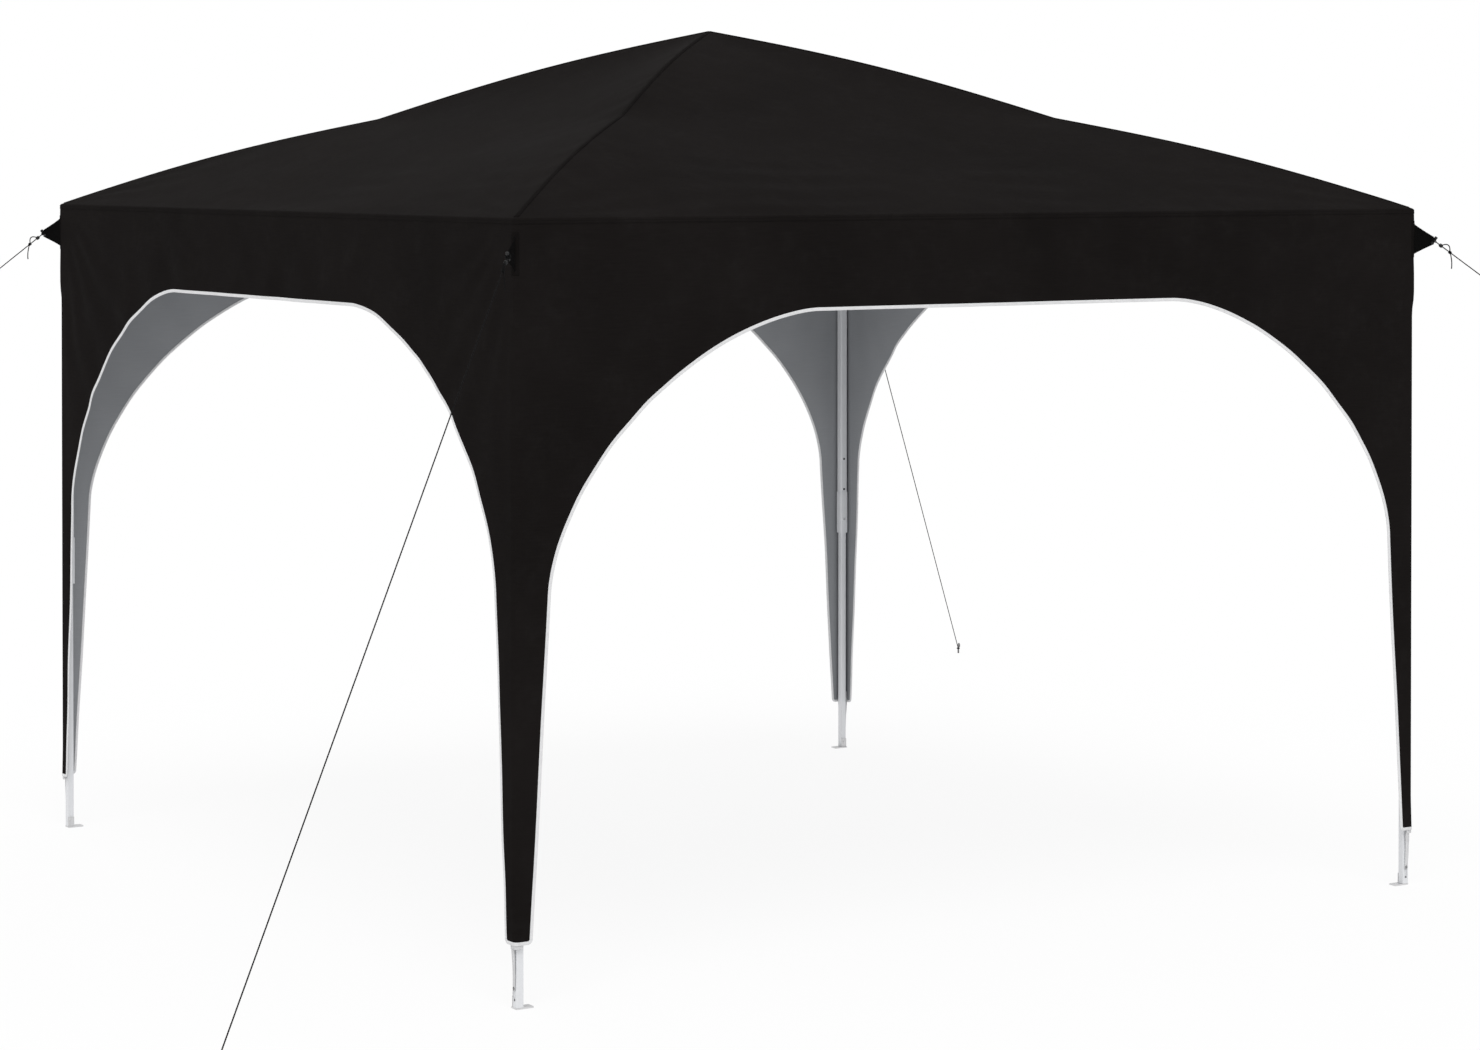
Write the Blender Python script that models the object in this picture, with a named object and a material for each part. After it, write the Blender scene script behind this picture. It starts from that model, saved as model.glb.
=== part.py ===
"""Pop-up party tent: a square cloth canopy on a folding steel frame, held by four guy ropes.

Metres, +Z up. The origin is on the ground under the peak. The front side faces -Y, and the corners are
numbered anticlockwise from front left, so that every repeated piece is built once and turned by quarters.
"""

import math

import bmesh
import bpy
from mathutils import Matrix, Vector

# Cloth canopy
CLOTH_HALF = 1.460
CLOTH_THICKNESS = 0.002
EAVE_HEIGHT = 1.930
PEAK_HEIGHT = 2.450
HIP_SWELL = 0.020
PANEL_SAG = 0.010
PEAK_OPENING = 0.004
ROOF_ROWS = 13
ROOF_COLUMNS = 4

# Arched sides and leg covers, measured from the cloth's corner
ARCH_TOP = 1.687
ARCH_SPRING = 1.000
ARCH_FLAT_START = 0.885
ARCH_SPRING_WIDTH = 0.100
ARCH_POWER = 1.68
ARCH_STEPS = 9
HEM_HEIGHT = 0.159
HEM_WIDTH = 0.049
HEM_ROUNDING = 0.013

# Gaps between pieces that touch
GAP = 0.0003
SEAM_GAP = 0.0002

# Share of a bolt's or button's length that is sunk into what it is on
SUNK_SHARE = 0.25

# Legs
LEG_CENTRE = 1.440
UPPER_TUBE_HALF = 0.0125
UPPER_BORE_HALF = 0.0110
UPPER_TUBE_TOP = 1.905
SLEEVE_HALF = 0.0142
SLEEVE_BOTTOM = 0.756
SLEEVE_TOP = 0.899
SLEEVE_LIP = 0.006
LOWER_TUBE_HALF = 0.0100
LOWER_BORE_HALF = 0.0088
LOWER_TUBE_TOP = 0.898
LOWER_GUIDE_HEIGHT = 0.030
TUBE_CORNER_RATIO = 0.2
TUBE_CORNER_STEPS = 2
HOLE_HEIGHTS = (0.804, 0.909, 1.015)
HOLE_RADIUS = 0.0042
HOLE_SIDES = 8
HOLE_CUT_LENGTH = 0.015

# Feet
FOOT_THICKNESS = 0.004
FOOT_LENGTH = 0.048
FOOT_WIDTH = 0.027
FOOT_CHEEK_THICKNESS = 0.002
FOOT_CHEEK_HEIGHT = 0.032
FOOT_BOLT_HEIGHT = 0.020
FOOT_BOLT_RADIUS = 0.004
FOOT_BOLT_LENGTH = 0.003
FOOT_BOLT_SIDES = 6

# Straps from the hem to the feet
STRAP_THICKNESS = 0.0015
STRAP_TOP = 0.195
STRAP_BOTTOM = 0.045
STRAP_TOP_WIDTH = 0.015
STRAP_BOTTOM_WIDTH = 0.011
STRAP_TOP_SHIFT = 0.003
STRAP_BUTTON_RADIUS = 0.004
STRAP_BUTTON_LENGTH = 0.002
STRAP_BUTTON_RISE = 0.006

# Scissor bars
BAR_HEIGHT = 0.020
BAR_THICKNESS = 0.010
BAR_LAYER = 0.0045
BAR_OVERHANG = 0.010
TRUSS_TOP = 1.900
TRUSS_BOTTOM = 1.710
SIDE_CROSSINGS = 4
CEILING_CROSSINGS = 2

# Brackets with forks that take the bars' ends
PIVOT_REACH = 0.035
FORK_REACH = 0.046
FORK_HALF_WIDTH = 0.012
FORK_WEB = 0.020
FORK_ROOT = 0.015
FORK_INSET = 0.002
BRACKET_HALF = CLOTH_HALF - CLOTH_THICKNESS - GAP - LEG_CENTRE
CORNER_BRACKET_BOTTOM = 1.865
CORNER_BRACKET_SHOULDER = 1.885
CORNER_BRACKET_BEVEL = 1.907
CORNER_BRACKET_BEVEL_HALF = 0.0155
CORNER_BRACKET_TOP_HALF = 0.009
SLIDER_LOW = 1.688
SLIDER_HIGH = 1.735
HUB_HALF = 0.018
UPPER_HUB_LOW = 1.875
UPPER_HUB_HIGH = 1.925
MIDDLE_BLOCK_HALF_HEIGHT = 0.018
MIDDLE_BLOCK_ROOT = 0.004

# Peak pole
POLE_HALF = 0.0125
POLE_BORE_HALF = 0.0110
POLE_BOTTOM = 1.680
POLE_CAP_RADIUS = 0.036
POLE_CAP_TIP_RADIUS = 0.008
POLE_CAP_FOOT_RADIUS = 0.018
POLE_CAP_EDGE_DEPTH = 0.0066
POLE_CAP_TUBE_DEPTH = 0.011
POLE_CAP_FOOT_DEPTH = 0.0176
POLE_CAP_BORE_DEPTH = 0.022
POLE_CAP_GAP = 0.0005
ROUND_SIDES = 16

# Guy tabs, ropes and pegs, on the diagonals
TAB_BASE_LOW = 1.800
TAB_BASE_HIGH = 1.888
TAB_TIP_HEIGHT = 1.840
TAB_LENGTH = 0.052
TAB_THICKNESS = 0.0024
TAB_TIP_HALF = 0.006
TOGGLE_RADIUS = 0.0032
TOGGLE_LENGTH = 0.028
ROPE_RADIUS = 0.00175
ROPE_SIDES = 8
KNOT_DISTANCE = 0.018
KNOT_RADIUS = 0.0045
KNOT_SUBDIVISIONS = 2
TAIL_DISTANCE = 0.048
TAIL_LENGTH = 0.046
TAIL_SIDES = 6
PEG_DISTANCE = 4.540
PEG_RADIUS = 0.0035
PEG_STRAIGHT_HEIGHT = 0.025
PEG_HOOK_REACH = 0.024
PEG_HOOK_STEPS = 5
PEG_ROPE_HEIGHT = 0.020

SIDES = ("front", "right", "back", "left")
CORNERS = ("front_left", "front_right", "back_right", "back_left")
QUARTER = math.pi / 2
FRONT_LEFT_DIAGONAL = 2.5 * QUARTER
SHARP_ANGLE = math.radians(40)


def clear_scene():
    for item in list(bpy.data.objects):
        bpy.data.objects.remove(item)


def make_material(name, colour, roughness, metallic=0.0):
    material = bpy.data.materials.new(name)
    material.use_nodes = True
    shader = material.node_tree.nodes["Principled BSDF"]
    shader.inputs["Base Color"].default_value = (*colour, 1.0)
    shader.inputs["Roughness"].default_value = roughness
    shader.inputs["Metallic"].default_value = metallic
    return material


def make_empty(name, location, turn):
    empty = bpy.data.objects.new(name, None)
    empty.location = location
    empty.rotation_euler = (0.0, 0.0, turn)
    bpy.context.collection.objects.link(empty)
    return empty


def place(name, mesh, material, parent, turn=0.0):
    """Put one finished sub-part on its parent empty."""
    item = bpy.data.objects.new(name, mesh)
    item.parent = parent
    item.rotation_euler = (0.0, 0.0, turn)
    item.data.materials.clear()
    item.data.materials.append(material)
    bpy.context.collection.objects.link(item)
    return item


def finish_mesh(name, builder, smooth=False):
    """Turn a bmesh into a mesh whose faces point outwards."""
    bmesh.ops.recalc_face_normals(builder, faces=builder.faces)
    if builder.calc_volume(signed=True) < 0:
        bmesh.ops.reverse_faces(builder, faces=builder.faces)
    mesh = bpy.data.meshes.new(name)
    builder.to_mesh(mesh)
    builder.free()
    if smooth:
        mesh.shade_smooth()
        mesh.set_sharp_from_angle(angle=SHARP_ANGLE)
    return mesh


def add_loft(builder, rings, closed=False):
    """Bridge rings of points, and close the ends with flat faces or join the last ring to the first."""
    rows = [[builder.verts.new(point) for point in ring] for ring in rings]
    pairs = list(zip(rows, rows[1:]))
    if closed:
        pairs.append((rows[-1], rows[0]))
    for lower, upper in pairs:
        for index in range(len(lower)):
            following = (index + 1) % len(lower)
            builder.faces.new((lower[index], lower[following], upper[following], upper[index]))
    if not closed:
        builder.faces.new(rows[0])
        builder.faces.new(rows[-1])


def add_box(builder, low, high, turn=0.0):
    corners = bmesh.ops.create_cube(builder, size=1.0)["verts"]
    low, high = Vector(low), Vector(high)
    for vertex in corners:
        vertex.co = Vector([low[axis] + (vertex.co[axis] + 0.5) * (high[axis] - low[axis]) for axis in range(3)])
    bmesh.ops.rotate(builder, verts=corners, cent=(0, 0, 0), matrix=Matrix.Rotation(turn, 3, "Z"))


def add_cylinder(builder, centre, axis, radius, length, sides=HOLE_SIDES):
    turn = Vector((0, 0, 1)).rotation_difference(Vector(axis)).to_matrix().to_4x4()
    bmesh.ops.create_cone(
        builder,
        cap_ends=True,
        segments=sides,
        radius1=radius,
        radius2=radius,
        depth=length,
        matrix=Matrix.Translation(centre) @ turn,
    )


def square_ring(half, height):
    """Points round a square tube with rounded corners."""
    radius = half * TUBE_CORNER_RATIO
    points = []
    for corner in range(4):
        middle = Vector((half - radius, half - radius, 0.0))
        for step in range(TUBE_CORNER_STEPS + 1):
            angle = QUARTER * step / TUBE_CORNER_STEPS
            point = middle + Vector((math.cos(angle), math.sin(angle), 0.0)) * radius
            point.rotate(Matrix.Rotation(QUARTER * corner, 3, "Z"))
            points.append(Vector((point.x, point.y, height)))
    return points


def round_ring(radius, height):
    angles = [2 * math.pi * index / ROUND_SIDES for index in range(ROUND_SIDES)]
    return [Vector((radius * math.cos(angle), radius * math.sin(angle), height)) for angle in angles]


def square_solid(name, profile, closed=False):
    """A square solid from a profile of (half width, height) points."""
    builder = bmesh.new()
    add_loft(builder, [square_ring(half, height) for half, height in profile], closed)
    return finish_mesh(name, builder)


def swept_tube(builder, path, radius, sides=ROPE_SIDES):
    """A round tube along points that lie in the XZ plane."""
    across = Vector((0.0, 1.0, 0.0))
    rings = []
    for index, point in enumerate(path):
        ahead = path[min(index + 1, len(path) - 1)]
        behind = path[max(index - 1, 0)]
        normal = across.cross((ahead - behind).normalized())
        angles = [2 * math.pi * side / sides for side in range(sides)]
        rings.append([point + radius * (math.cos(angle) * normal + math.sin(angle) * across) for angle in angles])
    add_loft(builder, rings)


def combine(name, body, additions=(), cuts=()):
    """Unite the additions with a mesh, take the cuts out of it, and return the finished mesh."""
    base = bpy.data.objects.new(name, body)
    bpy.context.collection.objects.link(base)
    helpers = []
    steps = [(mesh, "UNION") for mesh in additions] + [(mesh, "DIFFERENCE") for mesh in cuts]
    for mesh, operation in steps:
        helper = bpy.data.objects.new(name + "_tool", mesh)
        helper.hide_render = True
        helper.display_type = "WIRE"
        bpy.context.collection.objects.link(helper)
        helpers.append(helper)
        boolean = base.modifiers.new(operation, "BOOLEAN")
        boolean.operation = operation
        boolean.solver = "EXACT"
        boolean.object = helper
    evaluated = base.evaluated_get(bpy.context.evaluated_depsgraph_get())
    mesh = bpy.data.meshes.new_from_object(evaluated)
    mesh.name = name
    for item in helpers + [base]:
        bpy.data.objects.remove(item)
    return mesh


def swap_sides(mesh):
    """A copy of a leg piece mirrored in the corner's diagonal."""
    builder = bmesh.new()
    builder.from_mesh(mesh)
    for vertex in builder.verts:
        vertex.co.x, vertex.co.y = vertex.co.y, vertex.co.x
    return finish_mesh(mesh.name + "_swapped", builder)


# Canopy


def roof_height(rise, across):
    """Outer height of a roof panel: rise runs from eave to peak, across from hip (-1) to hip (1)."""
    straight = EAVE_HEIGHT + (PEAK_HEIGHT - EAVE_HEIGHT) * rise
    swell = HIP_SWELL * abs(math.sin(2 * math.pi * rise)) * across ** 2
    sag = PANEL_SAG * math.sin(math.pi * rise) ** 2 * (1 - across ** 2)
    return straight + swell - sag


def roof_panel_mesh():
    last_rise = 1 - PEAK_OPENING / CLOTH_HALF
    builder = bmesh.new()
    layers = []
    for drop in (0.0, CLOTH_THICKNESS):
        rows = []
        for row in range(ROOF_ROWS):
            rise = last_rise * row / (ROOF_ROWS - 1)
            distance = CLOTH_HALF * (1 - rise)
            points = []
            for column in range(ROOF_COLUMNS + 1):
                across = 2 * column / ROOF_COLUMNS - 1
                height = roof_height(rise, across) - drop
                points.append(builder.verts.new((across * (distance - SEAM_GAP), -distance, height)))
            rows.append(points)
        layers.append(rows)
    for rows in layers:
        for lower, upper in zip(rows, rows[1:]):
            for column in range(ROOF_COLUMNS):
                builder.faces.new((lower[column], lower[column + 1], upper[column + 1], upper[column]))
    for top, bottom in zip(rim_of(layers[0]), rim_of(layers[1])):
        builder.faces.new((top[0], top[1], bottom[1], bottom[0]))
    return finish_mesh("roof_panel", builder)


def rim_of(rows):
    """Pairs of neighbouring vertices round the edge of a grid."""
    loop = list(rows[0])
    loop += [row[-1] for row in rows[1:]]
    loop += list(reversed(rows[-1][:-1]))
    loop += [row[0] for row in reversed(rows[1:-1])]
    return list(zip(loop, loop[1:] + loop[:1]))


def arch_outline():
    """Points (distance from the corner, height) from the hem up to the middle of one arch."""
    points = [
        (HEM_WIDTH - HEM_ROUNDING, HEM_HEIGHT),
        (HEM_WIDTH, HEM_HEIGHT + HEM_ROUNDING),
    ]
    for step in range(ARCH_STEPS + 1):
        angle = QUARTER * step / ARCH_STEPS
        width = ARCH_FLAT_START - (ARCH_FLAT_START - ARCH_SPRING_WIDTH) * math.cos(angle) ** (2 / ARCH_POWER)
        height = ARCH_SPRING + (ARCH_TOP - ARCH_SPRING) * math.sin(angle) ** (2 / ARCH_POWER)
        points.append((width, height))
    return points


def side_panel_mesh():
    top = EAVE_HEIGHT - CLOTH_THICKNESS - GAP
    left = [(-CLOTH_HALF, top), (-CLOTH_HALF, HEM_HEIGHT)]
    left += [(distance - CLOTH_HALF, height) for distance, height in arch_outline()]
    outline = left + [(-x, z) for x, z in reversed(left)]
    builder = bmesh.new()
    layers = []
    for depth in (0.0, CLOTH_THICKNESS):
        limit = CLOTH_HALF - depth - SEAM_GAP
        y = depth - CLOTH_HALF
        layers.append([builder.verts.new((max(-limit, min(limit, x)), y, z)) for x, z in outline])
    outer, inner = layers
    builder.faces.new(outer)
    builder.faces.new(inner)
    for index in range(len(outline)):
        following = (index + 1) % len(outline)
        builder.faces.new((outer[index], outer[following], inner[following], inner[index]))
    return finish_mesh("side_panel", builder)


# Legs, built round the leg's own axis at the front left corner


def hole_cuts(heights):
    builder = bmesh.new()
    for height in heights:
        add_cylinder(builder, (0.0, UPPER_TUBE_HALF, height), (0, 1, 0), HOLE_RADIUS, HOLE_CUT_LENGTH)
    return finish_mesh("holes", builder)


def upper_leg_mesh():
    bottom = SLEEVE_BOTTOM + SLEEVE_LIP + GAP
    profile = [
        (UPPER_TUBE_HALF, bottom),
        (UPPER_TUBE_HALF, UPPER_TUBE_TOP),
        (UPPER_BORE_HALF, UPPER_TUBE_TOP),
        (UPPER_BORE_HALF, bottom),
    ]
    tube = square_solid("upper_leg", profile, closed=True)
    return combine("upper_leg", tube, cuts=[hole_cuts(HOLE_HEIGHTS)])


def leg_sleeve_mesh():
    lip_top = SLEEVE_BOTTOM + SLEEVE_LIP
    tube_bore = UPPER_TUBE_HALF + GAP
    lip_bore = LOWER_TUBE_HALF + GAP
    profile = [
        (SLEEVE_HALF, SLEEVE_BOTTOM),
        (SLEEVE_HALF, SLEEVE_TOP),
        (tube_bore, SLEEVE_TOP),
        (tube_bore, lip_top),
        (lip_bore, lip_top),
        (lip_bore, SLEEVE_BOTTOM),
    ]
    sleeve = square_solid("leg_sleeve", profile, closed=True)
    return combine("leg_sleeve", sleeve, cuts=[hole_cuts(HOLE_HEIGHTS[:1])])


def lower_leg_mesh():
    bottom = FOOT_THICKNESS + GAP
    guide_half = UPPER_BORE_HALF - GAP
    guide_bottom = LOWER_TUBE_TOP - LOWER_GUIDE_HEIGHT
    profile = [
        (LOWER_TUBE_HALF, bottom),
        (LOWER_TUBE_HALF, guide_bottom),
        (guide_half, guide_bottom),
        (guide_half, LOWER_TUBE_TOP),
        (LOWER_BORE_HALF, LOWER_TUBE_TOP),
        (LOWER_BORE_HALF, bottom),
    ]
    return square_solid("lower_leg", profile, closed=True)


def foot_mesh():
    """A plate flush with the tube's outer faces, with an upright cheek bolted to its inner face."""
    face = LOWER_TUBE_HALF
    cheek_low = face + GAP
    cheek_high = cheek_low + FOOT_CHEEK_THICKNESS
    plate = bmesh.new()
    add_box(plate, (-face, -face, 0.0), (FOOT_LENGTH - face, FOOT_WIDTH - face, FOOT_THICKNESS))
    cheek = bmesh.new()
    add_box(cheek, (-face, cheek_low, FOOT_THICKNESS / 2), (face, cheek_high, FOOT_CHEEK_HEIGHT))
    bolt = bmesh.new()
    bolt_centre = (0.0, cheek_high + FOOT_BOLT_LENGTH * (0.5 - SUNK_SHARE), FOOT_BOLT_HEIGHT)
    add_cylinder(bolt, bolt_centre, (0, 1, 0), FOOT_BOLT_RADIUS, FOOT_BOLT_LENGTH, FOOT_BOLT_SIDES)
    additions = [finish_mesh("cheek", cheek), finish_mesh("bolt", bolt)]
    return combine("foot", finish_mesh("plate", plate), additions)


def hem_strap_mesh():
    """A band sewn inside the hem that slants in to the tube's outer face and ends in a button."""
    cover_face = LEG_CENTRE - (CLOTH_HALF - CLOTH_THICKNESS - GAP)
    tube_face = -LOWER_TUBE_HALF - GAP
    rings = []
    for outer, width, shift, height in (
        (tube_face - STRAP_THICKNESS, STRAP_BOTTOM_WIDTH, 0.0, STRAP_BOTTOM),
        (cover_face, STRAP_TOP_WIDTH, STRAP_TOP_SHIFT, STRAP_TOP),
    ):
        inner = outer + STRAP_THICKNESS
        left = -shift - width / 2
        right = -shift + width / 2
        rings.append([Vector((x, y, height)) for x, y in ((outer, left), (inner, left), (inner, right), (outer, right))])
    builder = bmesh.new()
    add_loft(builder, rings)
    button = bmesh.new()
    centre_x = tube_face - STRAP_THICKNESS - STRAP_BUTTON_LENGTH * (0.5 - SUNK_SHARE)
    centre = (centre_x, 0.0, STRAP_BOTTOM + STRAP_BUTTON_RISE)
    add_cylinder(button, centre, (1, 0, 0), STRAP_BUTTON_RADIUS, STRAP_BUTTON_LENGTH)
    return combine("hem_strap", finish_mesh("strap", builder), [finish_mesh("button", button)])


# Scissor frame


def fork_parts(forks, low, high, root=FORK_ROOT):
    """Arms that reach out of a bracket, and the slots in them that take a bar's end."""
    arms = []
    slots = bmesh.new()
    slot_half = BAR_THICKNESS / 2 + GAP
    for turn, layer in forks:
        arm = bmesh.new()
        add_box(arm, (root, -FORK_HALF_WIDTH, low), (FORK_REACH, FORK_HALF_WIDTH, high), turn)
        arms.append(finish_mesh("arm", arm))
        slot_low = (FORK_WEB, layer - slot_half, low - FORK_HALF_WIDTH)
        slot_high = (FORK_REACH + FORK_HALF_WIDTH, layer + slot_half, high + FORK_HALF_WIDTH)
        add_box(slots, slot_low, slot_high, turn)
    return arms, finish_mesh("slots", slots)


def forked_bracket(name, body, forks, low, high):
    arms, slots = fork_parts(forks, low, high)
    return combine(name, body, arms, [slots])


def corner_bracket_mesh():
    """A cap with a rounded top over the leg. The roof rests on it, and the top bars of two sides meet in it."""
    edge_rise = 1 - (LEG_CENTRE + CORNER_BRACKET_TOP_HALF) / CLOTH_HALF
    top = roof_height(edge_rise, 1.0) - CLOTH_THICKNESS - GAP
    bore = UPPER_TUBE_HALF + GAP
    profile = [
        (bore, UPPER_TUBE_TOP + GAP),
        (bore, CORNER_BRACKET_BOTTOM),
        (BRACKET_HALF, CORNER_BRACKET_BOTTOM),
        (BRACKET_HALF, CORNER_BRACKET_SHOULDER),
        (CORNER_BRACKET_BEVEL_HALF, CORNER_BRACKET_BEVEL),
        (CORNER_BRACKET_TOP_HALF, top),
    ]
    body = square_solid("cap", profile)
    forks = [(0.0, BAR_LAYER), (QUARTER, BAR_LAYER)]
    return forked_bracket("corner_bracket", body, forks, CORNER_BRACKET_BOTTOM + FORK_INSET, top - FORK_INSET)


def slider_bracket_mesh():
    """A ring that slides on the leg and carries the bottom bars of two sides."""
    bore = UPPER_TUBE_HALF + GAP
    profile = [(BRACKET_HALF, SLIDER_LOW), (BRACKET_HALF, SLIDER_HIGH), (bore, SLIDER_HIGH), (bore, SLIDER_LOW)]
    body = square_solid("ring", profile, closed=True)
    forks = [(0.0, -BAR_LAYER), (QUARTER, -BAR_LAYER)]
    return forked_bracket("slider_bracket", body, forks, SLIDER_LOW + FORK_INSET, SLIDER_HIGH - FORK_INSET)


def hub_mesh(name, low, high, layer):
    """A ring on the peak pole with four forks."""
    bore = POLE_HALF + GAP
    body = square_solid("ring", [(HUB_HALF, low), (HUB_HALF, high), (bore, high), (bore, low)], closed=True)
    forks = [(QUARTER * turn, layer) for turn in range(4)]
    return forked_bracket(name, body, forks, low + FORK_INSET, high - FORK_INSET)


def add_bar(builder, start, end, layer):
    """One flat bar between two pivots given as (x, z), in the layer at y."""
    start = Vector((start[0], layer, start[1]))
    end = Vector((end[0], layer, end[1]))
    along = (end - start).normalized()
    up = Vector((0.0, 1.0, 0.0)).cross(along) * (BAR_HEIGHT / 2)
    side = Vector((0.0, BAR_THICKNESS / 2, 0.0))
    rings = []
    for point in (start - along * BAR_OVERHANG, end + along * BAR_OVERHANG):
        rings.append([point - up - side, point + up - side, point + up + side, point - up + side])
    add_loft(builder, rings)


def scissor_layers(start, end, crossings):
    """Falling bars in one layer and rising bars in the other, crossing in pairs between start and end."""
    falling = bmesh.new()
    rising = bmesh.new()
    module = (end - start) / crossings
    for index in range(crossings):
        left = start + index * module
        right = left + module
        add_bar(falling, (left, TRUSS_TOP), (right, TRUSS_BOTTOM), BAR_LAYER)
        add_bar(rising, (left, TRUSS_BOTTOM), (right, TRUSS_TOP), -BAR_LAYER)
    return finish_mesh("falling", falling), finish_mesh("rising", rising)


def side_truss_mesh():
    """Bars from leg to leg, with a fork at the middle, high and low, for the ceiling bars."""
    reach = LEG_CENTRE - PIVOT_REACH
    falling, rising = scissor_layers(-reach, reach, SIDE_CROSSINGS)
    additions = [rising]
    cuts = []
    for height, layer in ((TRUSS_TOP, BAR_LAYER), (TRUSS_BOTTOM, -BAR_LAYER)):
        low = height - MIDDLE_BLOCK_HALF_HEIGHT
        high = height + MIDDLE_BLOCK_HALF_HEIGHT
        arms, slots = fork_parts([(QUARTER, layer)], low, high, root=MIDDLE_BLOCK_ROOT)
        additions += arms
        cuts.append(slots)
    return combine("side_truss", falling, additions, cuts)


def ceiling_truss_mesh():
    """Bars from the middle of a side to the hub."""
    start = PIVOT_REACH - LEG_CENTRE
    falling, rising = scissor_layers(start, -PIVOT_REACH, CEILING_CROSSINGS)
    return combine("ceiling_truss", falling, [rising])


def peak_pole_mesh():
    """A tube through both hubs, with a round cap that holds up the cloth."""

    def under_cloth(radius):
        return roof_height(1 - radius / CLOTH_HALF, 0.0) - CLOTH_THICKNESS - POLE_CAP_GAP

    rim = under_cloth(POLE_CAP_RADIUS)
    tip = under_cloth(POLE_CAP_TIP_RADIUS)
    profile = [
        (POLE_BORE_HALF, rim - POLE_CAP_BORE_DEPTH),
        (POLE_BORE_HALF, POLE_BOTTOM),
        (POLE_HALF, POLE_BOTTOM),
        (POLE_HALF, rim - POLE_CAP_TUBE_DEPTH),
    ]
    tube = square_solid("tube", profile)
    cap = bmesh.new()
    rings = [
        round_ring(POLE_CAP_FOOT_RADIUS, rim - POLE_CAP_FOOT_DEPTH),
        round_ring(POLE_CAP_RADIUS, rim - POLE_CAP_EDGE_DEPTH),
        round_ring(POLE_CAP_RADIUS, rim),
        round_ring(POLE_CAP_TIP_RADIUS, tip),
    ]
    add_loft(cap, rings)
    return combine("peak_pole", tube, [finish_mesh("cap", cap)])


# Guy tabs, ropes and pegs, built along +X and turned to the corner's diagonal


def corner_distance():
    """Distance on the diagonal from the middle of the tent to the canopy's corner edge."""
    return CLOTH_HALF * math.sqrt(2)


def toggle_centre():
    return Vector((corner_distance() + GAP + TAB_LENGTH, 0.0, TAB_TIP_HEIGHT))


def rope_end():
    return Vector((PEG_DISTANCE - PEG_RADIUS - GAP, 0.0, PEG_ROPE_HEIGHT))


def rope_direction():
    return (rope_end() - toggle_centre()).normalized()


def guy_tab_mesh():
    """A triangular flap of webbing with a short bar across its tip, square to the rope."""
    base = corner_distance() + GAP
    tip = base + TAB_LENGTH
    half = TAB_THICKNESS / 2
    outline = [
        (base, TAB_BASE_LOW),
        (tip, TAB_TIP_HEIGHT - TAB_TIP_HALF),
        (tip, TAB_TIP_HEIGHT + TAB_TIP_HALF),
        (base, TAB_BASE_HIGH),
    ]
    builder = bmesh.new()
    add_loft(builder, [[Vector((x, y, z)) for x, z in outline] for y in (-half, half)])
    toggle = bmesh.new()
    along = rope_direction()
    across = (-along.z, 0.0, along.x)
    add_cylinder(toggle, toggle_centre(), across, TOGGLE_RADIUS, TOGGLE_LENGTH)
    return combine("guy_tab", finish_mesh("flap", builder), [finish_mesh("toggle", toggle)])


def guy_rope_mesh():
    """A taut rope from the toggle to the peg, with its knot and hanging tail."""
    along = rope_direction()
    start = toggle_centre() + along * (TOGGLE_RADIUS + GAP)
    end = rope_end() + along * ROPE_RADIUS * along.z / along.x
    knot = start + along * KNOT_DISTANCE
    rope = bmesh.new()
    swept_tube(rope, [start, end], ROPE_RADIUS)
    bead = bmesh.new()
    bmesh.ops.create_icosphere(
        bead, subdivisions=KNOT_SUBDIVISIONS, radius=KNOT_RADIUS, matrix=Matrix.Translation(knot)
    )
    tail = bmesh.new()
    hang = Vector((0.0, 0.0, -1.0))
    crossing = start + along * TAIL_DISTANCE
    tail_path = [crossing + hang * ROPE_RADIUS / 2, crossing + hang * TAIL_LENGTH]
    swept_tube(tail, tail_path, ROPE_RADIUS, TAIL_SIDES)
    additions = [finish_mesh("bead", bead), finish_mesh("tail", tail)]
    return combine("guy_rope", finish_mesh("rope", rope), additions)


def tent_peg_mesh():
    """The part of a round steel peg that stands out of the ground, hooked away from the tent."""
    path = [Vector((PEG_DISTANCE, 0.0, 0.0)), Vector((PEG_DISTANCE, 0.0, PEG_STRAIGHT_HEIGHT))]
    bend = PEG_HOOK_REACH / 2
    for step in range(1, PEG_HOOK_STEPS + 1):
        angle = math.pi * step / PEG_HOOK_STEPS
        x = PEG_DISTANCE + bend * (1 - math.cos(angle))
        z = PEG_STRAIGHT_HEIGHT + bend * math.sin(angle)
        path.append(Vector((x, 0.0, z)))
    builder = bmesh.new()
    swept_tube(builder, path, PEG_RADIUS)
    return finish_mesh("tent_peg", builder, smooth=True)


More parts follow.
